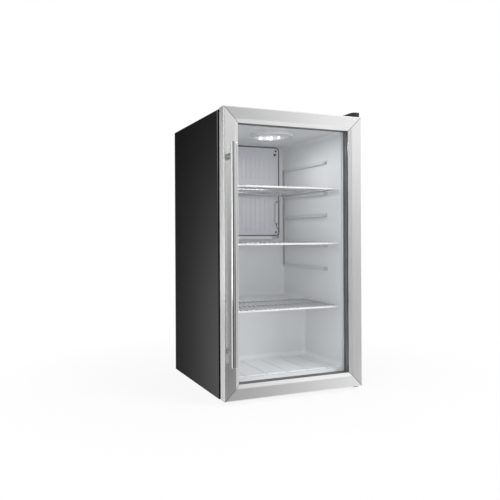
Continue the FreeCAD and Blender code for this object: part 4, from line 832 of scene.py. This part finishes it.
# prism studs under the lamp lens
prismLook = {
    "spacing": 0.0062, "radius": 0.056, "side": 0.0034, "drop": 0.0016, "place": (0, -0.06575, 0.7838),
}
def makePrismTree():
    tree, entry, leave = newTree("lensPrisms", [
        ("Spread", "Float", 0.11), ("Count", "Int", 18), ("Radius", "Float", 0.055),
        ("Side", "Float", 0.003), ("Drop", "Float", 0.0015), ("Centre", "Vector", (0, 0, 0)),
        ("Finish", "Material", None),
    ])
    grid = addNode(tree, "GeometryNodeMeshGrid")
    feed(tree, entry, grid, ("Spread", "Size X"), ("Spread", "Size Y"), ("Count", "Vertices X"),
         ("Count", "Vertices Y"))
    away = addNode(tree, "ShaderNodeVectorMath", operation="LENGTH")
    wire(tree, addNode(tree, "GeometryNodeInputPosition"), "Position", away, 0)
    outside = addNode(tree, "FunctionNodeCompare", operation="GREATER_THAN", data_type="FLOAT")
    wire(tree, away, "Value", outside, 0)
    wire(tree, entry, "Radius", outside, 1)
    kept = addNode(tree, "GeometryNodeDeleteGeometry", domain="POINT")
    wire(tree, grid, "Mesh", kept, "Geometry")
    wire(tree, outside, "Result", kept, "Selection")
    stud = addNode(tree, "GeometryNodeMeshCone", {"Vertices": 4, "Radius Bottom": 0.0})
    feed(tree, entry, stud, ("Side", "Radius Top"), ("Drop", "Depth"))
    closeTree(tree, entry, leave, setOnPoints(tree, entry, kept, "Geometry", stud))
    return tree


prismCount = 2 * int(prismLook["radius"] / prismLook["spacing"]) + 1
prismPlace = Vector(prismLook["place"]) - Vector((0, 0, prismLook["drop"]))
prismMesh = grow("lensStuds", makePrismTree(), {
    "Spread": prismLook["spacing"] * (prismCount - 1), "Count": prismCount, "Radius": prismLook["radius"],
    "Side": prismLook["side"], "Drop": prismLook["drop"], "Centre": prismPlace, "Finish": lensPlastic,
})
newPiece("lensStuds", prismMesh, lensPlastic, "cabinet", smooth=False)


# setting marks round the thermostat knob
dialLook = {
    "centre": (0.150, 0.2369, 0.174), "radius": 0.021, "marks": 9, "sweep": 280,
    "size": (0.001, 0.0004, 0.004),
}
def makeDialTree():
    tree, entry, leave = newTree("dialMarks", [
        ("Radius", "Float", 0.02), ("Marks", "Int", 9), ("Sweep", "Float", 4.9),
        ("Size", "Vector", (0.001, 0.001, 0.004)), ("Centre", "Vector", (0, 0, 0)),
        ("Finish", "Material", None),
    ])
    row = addNode(tree, "GeometryNodeMeshLine", mode="OFFSET")
    wire(tree, entry, "Marks", row, "Count")
    index = addNode(tree, "GeometryNodeInputIndex")
    last = addNode(tree, "ShaderNodeMath", {1: 1.0}, operation="SUBTRACT")
    wire(tree, entry, "Marks", last, 0)
    share = pair(tree, index, "Index", last, "Value", "DIVIDE")
    middle = addNode(tree, "ShaderNodeMath", {1: 0.5}, operation="SUBTRACT")
    wire(tree, share, "Value", middle, 0)
    angle = times(tree, middle, "Value", entry, "Sweep")
    turn = addNode(tree, "ShaderNodeCombineXYZ")
    wire(tree, angle, "Value", turn, "Y")
    up = addNode(tree, "ShaderNodeCombineXYZ")
    wire(tree, entry, "Radius", up, "Z")
    swing = addNode(tree, "ShaderNodeVectorRotate", rotation_type="EULER_XYZ")
    wire(tree, up, "Vector", swing, "Vector")
    wire(tree, turn, "Vector", swing, "Rotation")
    put = addNode(tree, "GeometryNodeSetPosition")
    wire(tree, row, "Mesh", put, "Geometry")
    wire(tree, swing, "Vector", put, "Position")
    bar = addNode(tree, "GeometryNodeMeshCube")
    wire(tree, entry, "Size", bar, "Size")
    spots = setOnPoints(tree, entry, put, "Geometry", bar)
    wire(tree, turn, "Vector", spots, "Rotation")
    closeTree(tree, entry, leave, spots)
    return tree


markLook = {
    "light": (0.82, 0.82, 0.80), "dark": (0.72, 0.72, 0.70), "stretch": (600, 600, 600),
    "smooth": 0.45, "rough": 0.6, "bump": (0.05, 0.0001),
}
markPaint = makeFinish("markPaint", sprayedSkin, markLook)
dialMesh = grow("dialMarks", makeDialTree(), {
    "Radius": dialLook["radius"], "Marks": dialLook["marks"], "Sweep": math.radians(dialLook["sweep"]),
    "Size": dialLook["size"], "Centre": dialLook["centre"], "Finish": markPaint,
})
newPiece("dialMarks", dialMesh, markPaint, "cabinet", smooth=False)


# dark strip round the evaporator plate: painted shade for the shadow gap between the plate and the tub wall
plateShadowLook = {
    "half": 0.153, "low": 0.474, "high": 0.793, "corner": 0.012, "steps": 8, "plane": 0.19725,
    "width": 0.0023,
    "section": [  # share of the width, and depth
        (-1, -0.0006), (-0.3, -0.0010), (0.5, -0.0007), (1, 0.0002), (1, 0.0034), (-0.2, 0.0034), (-1, 0.0),
    ],
}
def makePlateShadowEdge(look):
    profile = [(share * look["width"], depth) for share, depth in look["section"]]
    newPiece("plateEdge", sweepFrame("plateEdge", look, profile), blackPlastic, "cabinet")


makePlateShadowEdge(plateShadowLook)


# dark strip round the sensor clip: painted shade for the gap round it, so that it stands off the plate
clipShadowLook = {"corner": 0.002, "steps": 3, "width": 0.0009, "depth": 0.0012, "proud": 0.0002}
def makeClipShadowEdge(look):
    low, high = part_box("sensor_clip")
    wide, deep, proud = look["width"], look["depth"], look["proud"]
    profile = [(0, -proud), (wide, -proud), (wide, deep), (0, deep)]
    clip = {"half": (high[0] - low[0]) / 2, "low": low[2], "high": high[2], "plane": low[1] + deep, **look}
    mesh = sweepFrame("clipEdge", clip, profile, (low[0] + high[0]) / 2)
    newPiece("clipEdge", mesh, blackPlastic, "cabinet", smooth=False)


makeClipShadowEdge(clipShadowLook)


# small dark earth tag under the upper right plate screw
tagLook = {"place": (0.1370, 0.19725, 0.7710), "half": 0.0062, "drop": 0.0095, "depth": 0.0016}
def makeEarthTag(look):
    x, y, z = look["place"]
    half, drop, depth = look["half"], look["drop"], look["depth"]
    outline = [(-half, 0), (-0.6 * half, 0.25 * half), (0, -0.1 * half), (0.6 * half, 0.25 * half),
               (half, 0), (0.25 * half, -drop), (-0.25 * half, -drop)]
    front, back = [[(x + u, y - rise, z + v) for u, v in outline] for rise in (depth, 0)]
    mesh = joinEnds("earthTag", front, back)
    newPiece("earthTag", mesh, blackPlastic, "cabinet", smooth=False)


makeEarthTag(tagLook)


# moulded strip over the front edge of the tub's hump, its two feet run out into the tub
humpLook = {
    "half": 0.1735, "front": 0.0517, "top": 0.2576, "round": 0.006, "gauge": 0.001, "reach": 0.012,
    "steps": 6, "sink": 0.0009,
}
def makeHumpTrim(look):
    y, z = look["front"] + look["round"], look["top"] - look["round"]
    profile = []
    for inset, order in ((0.0, 1), (look["gauge"], -1)):
        foot = inset + look["sink"]
        side = [(look["front"] + foot, z - look["reach"])]
        for step in range(look["steps"] + 1):
            angle = math.radians(180 - 90 * step / look["steps"])
            radius = look["round"] - inset
            side.append((y + radius * math.cos(angle), z + radius * math.sin(angle)))
        side.append((y + look["reach"], look["top"] - foot))
        profile += side[::order]
    mesh = joinEnds("humpTrim", *[[(x, *spot) for spot in profile] for x in (-look["half"], look["half"])])
    newPiece("humpTrim", mesh, linerPlastic, "cabinet", smooth=False)


makeHumpTrim(humpLook)


# dark strips in the joints where the door rails meet the stiles at 45 degrees: the joints are real, their
# darkness is painted shade standing in for the shadow in the narrow gaps
mitreShadowLook = {
    "start": 0.0016, "flat": 0.0335, "bevel": 0.0443, "drop": 0.005, "half": 0.00042, "proud": 0.00012,
    "depth": 0.00048,
}
def makeMitreShadows(look):
    low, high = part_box("door_stile_handle")[0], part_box("door_stile_hinge")[1]
    front = low[1] - look["proud"]
    slope = [(look["start"], front), (look["flat"], front), (look["bevel"], front + look["drop"])]
    build = bmesh.new()
    for cornerX, inX in ((low[0], 1), (high[0], -1)):
        for cornerZ, inZ in ((low[2], 1), (high[2], -1)):
            rows = []
            for reach, depth in slope:
                for side in (-look["half"], look["half"]):
                    spot = (cornerX + inX * (reach + side), depth, cornerZ + inZ * (reach - side))
                    rows.append(build.verts.new(spot))
            backs = [build.verts.new(vert.co + Vector((0, look["depth"], 0))) for vert in rows]
            for layer in (rows, backs):
                build.faces.new((layer[0], layer[1], layer[3], layer[2]))
                build.faces.new((layer[2], layer[3], layer[5], layer[4]))
            outline = (0, 1, 3, 5, 4, 2)
            for first, second in zip(outline, outline[1:] + outline[:1]):
                build.faces.new((rows[first], rows[second], backs[second], backs[first]))
    mesh = tidyMesh("mitreJoints", build)
    newPiece("mitreJoints", mesh, blackPlastic, "door", smooth=False)


makeMitreShadows(mitreShadowLook)


# folded door seal: flange, bellows and magnet strip in one soft extrusion
sealShape = {
    "half": 0.191, "low": 0.0473, "high": 0.8013, "corner": 0.006, "steps": 4, "plane": -0.19225,
    "side": [  # outwards and back, in mm, as in the lip
        (6.0, 0.0), (6.0, 1.5), (3.2, 2.1), (4.4, 3.1), (3.0, 4.1), (4.6, 5.1), (6.1, 5.9), (6.5, 7.0),
        (6.5, 10.2), (5.6, 11.2),
    ],
    "lip": [
        (6.6, 0.4), (8.4, 0.4), (9.0, 2.0), (8.2, 6.0), (9.0, 10.0), (8.4, 10.9), (6.6, 10.9), (7.2, 6.0),
    ],
}
def makeDoorSeal(look):
    right, lip = [[(u / 1000, v / 1000) for u, v in look[key]] for key in ("side", "lip")]
    left = [(-u, v) for u, v in reversed(right)]
    mesh = sweepFrame("doorSeal", look, right + left)
    piece = newPiece("doorSeal", mesh, sealRubber, "door", smooth=False)
    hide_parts("door_gasket")
    # the dark outer lip is painted shade for the gap between door and cabinet
    mesh = sweepFrame("sealLip", look, lip)
    newPiece("sealLip", mesh, lipShadeRubber, "door", smooth=False)


makeDoorSeal(sealShape)
print("details done")


# white studio: the world and the floor read white to the camera and through glass;
# metal sees the same white behind the object and the dimmer room in front of it
def seenWhite(tree, path):
    first = pair(tree, path, "Is Camera Ray", path, "Is Glossy Ray", "MAXIMUM")
    return pair(tree, first, "Value", path, "Is Transmission Ray", "MAXIMUM")


floorLook = {"size": 12.0, "tone": (0.86, 0.86, 0.86), "rough": 0.9, "white": 0.88, "fade": (0.35, 1.1)}
def buildFloor(look):
    half = look["size"] / 2
    mesh = bpy.data.meshes.new("studioFloor")
    corners = [(-half, -half, 0), (half, -half, 0), (half, half, 0), (-half, half, 0)]
    mesh.from_pydata(corners, [], [(0, 1, 2, 3)])
    floor = bpy.data.objects.new("studioFloor", mesh)
    scene.collection.objects.link(floor)
    floor.visible_glossy = False
    values = {"Base Color": (*look["tone"], 1), "Roughness": look["rough"]}
    material, tree, shader = newMaterial("studioFloor", values)
    white = addNode(tree, "ShaderNodeEmission", {"Color": (1, 1, 1, 1), "Strength": 1.0})
    both = addNode(tree, "ShaderNodeMixShader")
    away = addNode(tree, "ShaderNodeVectorMath", operation="LENGTH")
    wire(tree, addNode(tree, "ShaderNodeTexCoord"), "Object", away, 0)
    fade = ease(tree, away, "Value", *look["fade"], look["white"], 1.0)  # the shadow stays near the object
    seen = seenWhite(tree, addNode(tree, "ShaderNodeLightPath"))
    share = spread(tree, seen, "Value", 0.0, (fade, "Result"))
    wire(tree, share, "Result", both, 0)
    wire(tree, shader, "BSDF", both, 1)
    wire(tree, white, "Emission", both, 2)
    wire(tree, both, "Shader", tree.nodes["Material Output"], "Surface")
    mesh.materials.append(material)


roomLook = {
    "ambient": 0.65, "cameraSide": -0.70, "faced": 0.20,
    "dark": (0.29, 0.41, 0.10, 1.0),  # round the camera's own side
    "dip": (0.12, 0.40, 0.66, 1.28),  # the part of the room that the door looks at is dimmer
    "near": (0.18, 0.43, 0.97, 0.25),
    "low": (-0.10, 0.24, 0.95, 0.0),  # and its shade gathers low down
    "ground": (-0.45, -0.24, 0.15, 1.0),  # but the ground in front is white again
    "right": (0.62, 0.88, 1.0, 0.68),  # far right falls back to near white
    "high": (0.28, 0.60, 1.0, 0.76),  # the room's ceiling is a little dimmer
    "backRise": (-0.30, 0.25, 0.80, 0.05),  # back left: the room falls off upwards
    "backLeft": (-0.40, -0.29, 1.5, 0.0),
    "leftWall": (-0.60, -0.42, 0.6, 0.0),  # far left is a pale wall
    "backWhite": (-0.15, 0.25, 0.0, 1.0),  # back right stays white
    "behind": (-0.3, 0.3, 0.0, 1.0),
}
def buildWorld(look):
    world = bpy.data.worlds.new("studio")
    scene.world = world
    world.use_nodes = True
    tree = world.node_tree
    path = addNode(tree, "ShaderNodeLightPath")
    where = addNode(tree, "ShaderNodeTexCoord")
    split = addNode(tree, "ShaderNodeSeparateXYZ")
    wire(tree, where, "Generated", split, "Vector")
    level = addNode(tree, "ShaderNodeVectorMath", {1: (1, 1, 0)}, operation="MULTIPLY")
    wire(tree, where, "Generated", level, 0)
    bearing = addNode(tree, "ShaderNodeVectorMath", operation="NORMALIZE")
    wire(tree, level, "Vector", bearing, 0)
    side = addNode(tree, "ShaderNodeSeparateXYZ")
    wire(tree, bearing, "Vector", side, "Vector")
    fromCamera = distance(tree, side, "X", look["cameraSide"])
    fromFaced = distance(tree, side, "X", look["faced"])
    sources = {
        "low": (split, "Z"), "ground": (split, "Z"), "high": (split, "Z"), "backRise": (split, "Z"),
        "backLeft": (split, "X"), "leftWall": (split, "X"), "backWhite": (split, "X"),
        "behind": (split, "Y"), "right": (side, "X"), "near": (fromFaced, "Value"),
        "dip": (fromFaced, "Value"), "dark": (fromCamera, "Value"),
    }
    zone = {key: ease(tree, *source, *look[key]) for key, source in sources.items()}
    shade = combine(tree, "MULTIPLY", zone["low"], zone["ground"], zone["near"])
    lit = spread(tree, shade, "Value", 1.0, 0.0)
    front = combine(tree, "MULTIPLY", lit, zone["dark"], zone["dip"], zone["high"], zone["right"])
    backDim = combine(tree, "MULTIPLY", zone["backRise"], zone["backLeft"])
    white = combine(tree, "MAXIMUM", zone["leftWall"], zone["backWhite"])
    back = spread(tree, white, "Value", (backDim, "Value"), 1.0)
    room = spread(tree, zone["behind"], "Result", (front, "Value"), (back, "Result"))
    shine = addNode(tree, "ShaderNodeMix", {2: 1.0}, data_type="FLOAT")
    wire(tree, path, "Is Glossy Ray", shine, 0)
    wire(tree, room, "Result", shine, 3)
    base = spread(tree, seenWhite(tree, path), "Value", look["ambient"], 1.0)
    strength = times(tree, base, "Result", shine, 0)
    background = tree.nodes["Background"]
    background.inputs["Color"].default_value = (1, 1, 1, 1)
    wire(tree, strength, "Value", background, "Strength")


buildFloor(floorLook)
buildWorld(roomLook)


# soft boxes round the object and the lit lamp inside it: place, aim, size, power, whether metal shows it
lampLooks = {
    "keyBox": ((1.7, -2.5, 2.3), (0, 0, 0.4), (1.6, 1.6), 60, False),
    "fillBox": ((-2.3, -1.9, 1.2), (0.1, -0.1, 0.5), (1.2, 1.6), 17, False),
    "frontBox": ((-0.5, -3.2, 0.55), (0, 0, 0.4), (1.6, 0.8), 12, False),
    "topBox": ((2.1, -1.8, 3.2), (0, 0, 0.3), (1.6, 1.0), 6, True),
    "leftStrip": ((-2.6, -0.5, 1.0), (0, -0.2, 1.0), (0.5, 1.9), 11, True),
    "edgeStrip": ((-1.6, 1.7, 0.7), (0, 0, 0.7), (0.4, 1.3), 3, True),
    "cabinLamp": ((0, -0.06575, 0.774), (0, -0.06575, 0), (0.11, 0.11), 0.38, True),
}
def placeLamp(name, place, aim, size, power, shine):
    data = bpy.data.lights.new(name, "AREA")
    data.shape = "RECTANGLE"
    data.size, data.size_y = size
    data.energy = power
    lamp = bpy.data.objects.new(name, data)
    scene.collection.objects.link(lamp)
    lamp.visible_camera = False
    lamp.visible_glossy = shine
    turn = (Vector(aim) - Vector(place)).to_track_quat("-Z", "Y").to_matrix().to_4x4()
    lamp.matrix_world = Matrix.Translation(place) @ turn


for name, look in lampLooks.items():
    placeLamp(name, *look)

scene.view_settings.view_transform = "Standard"
print("studio done")
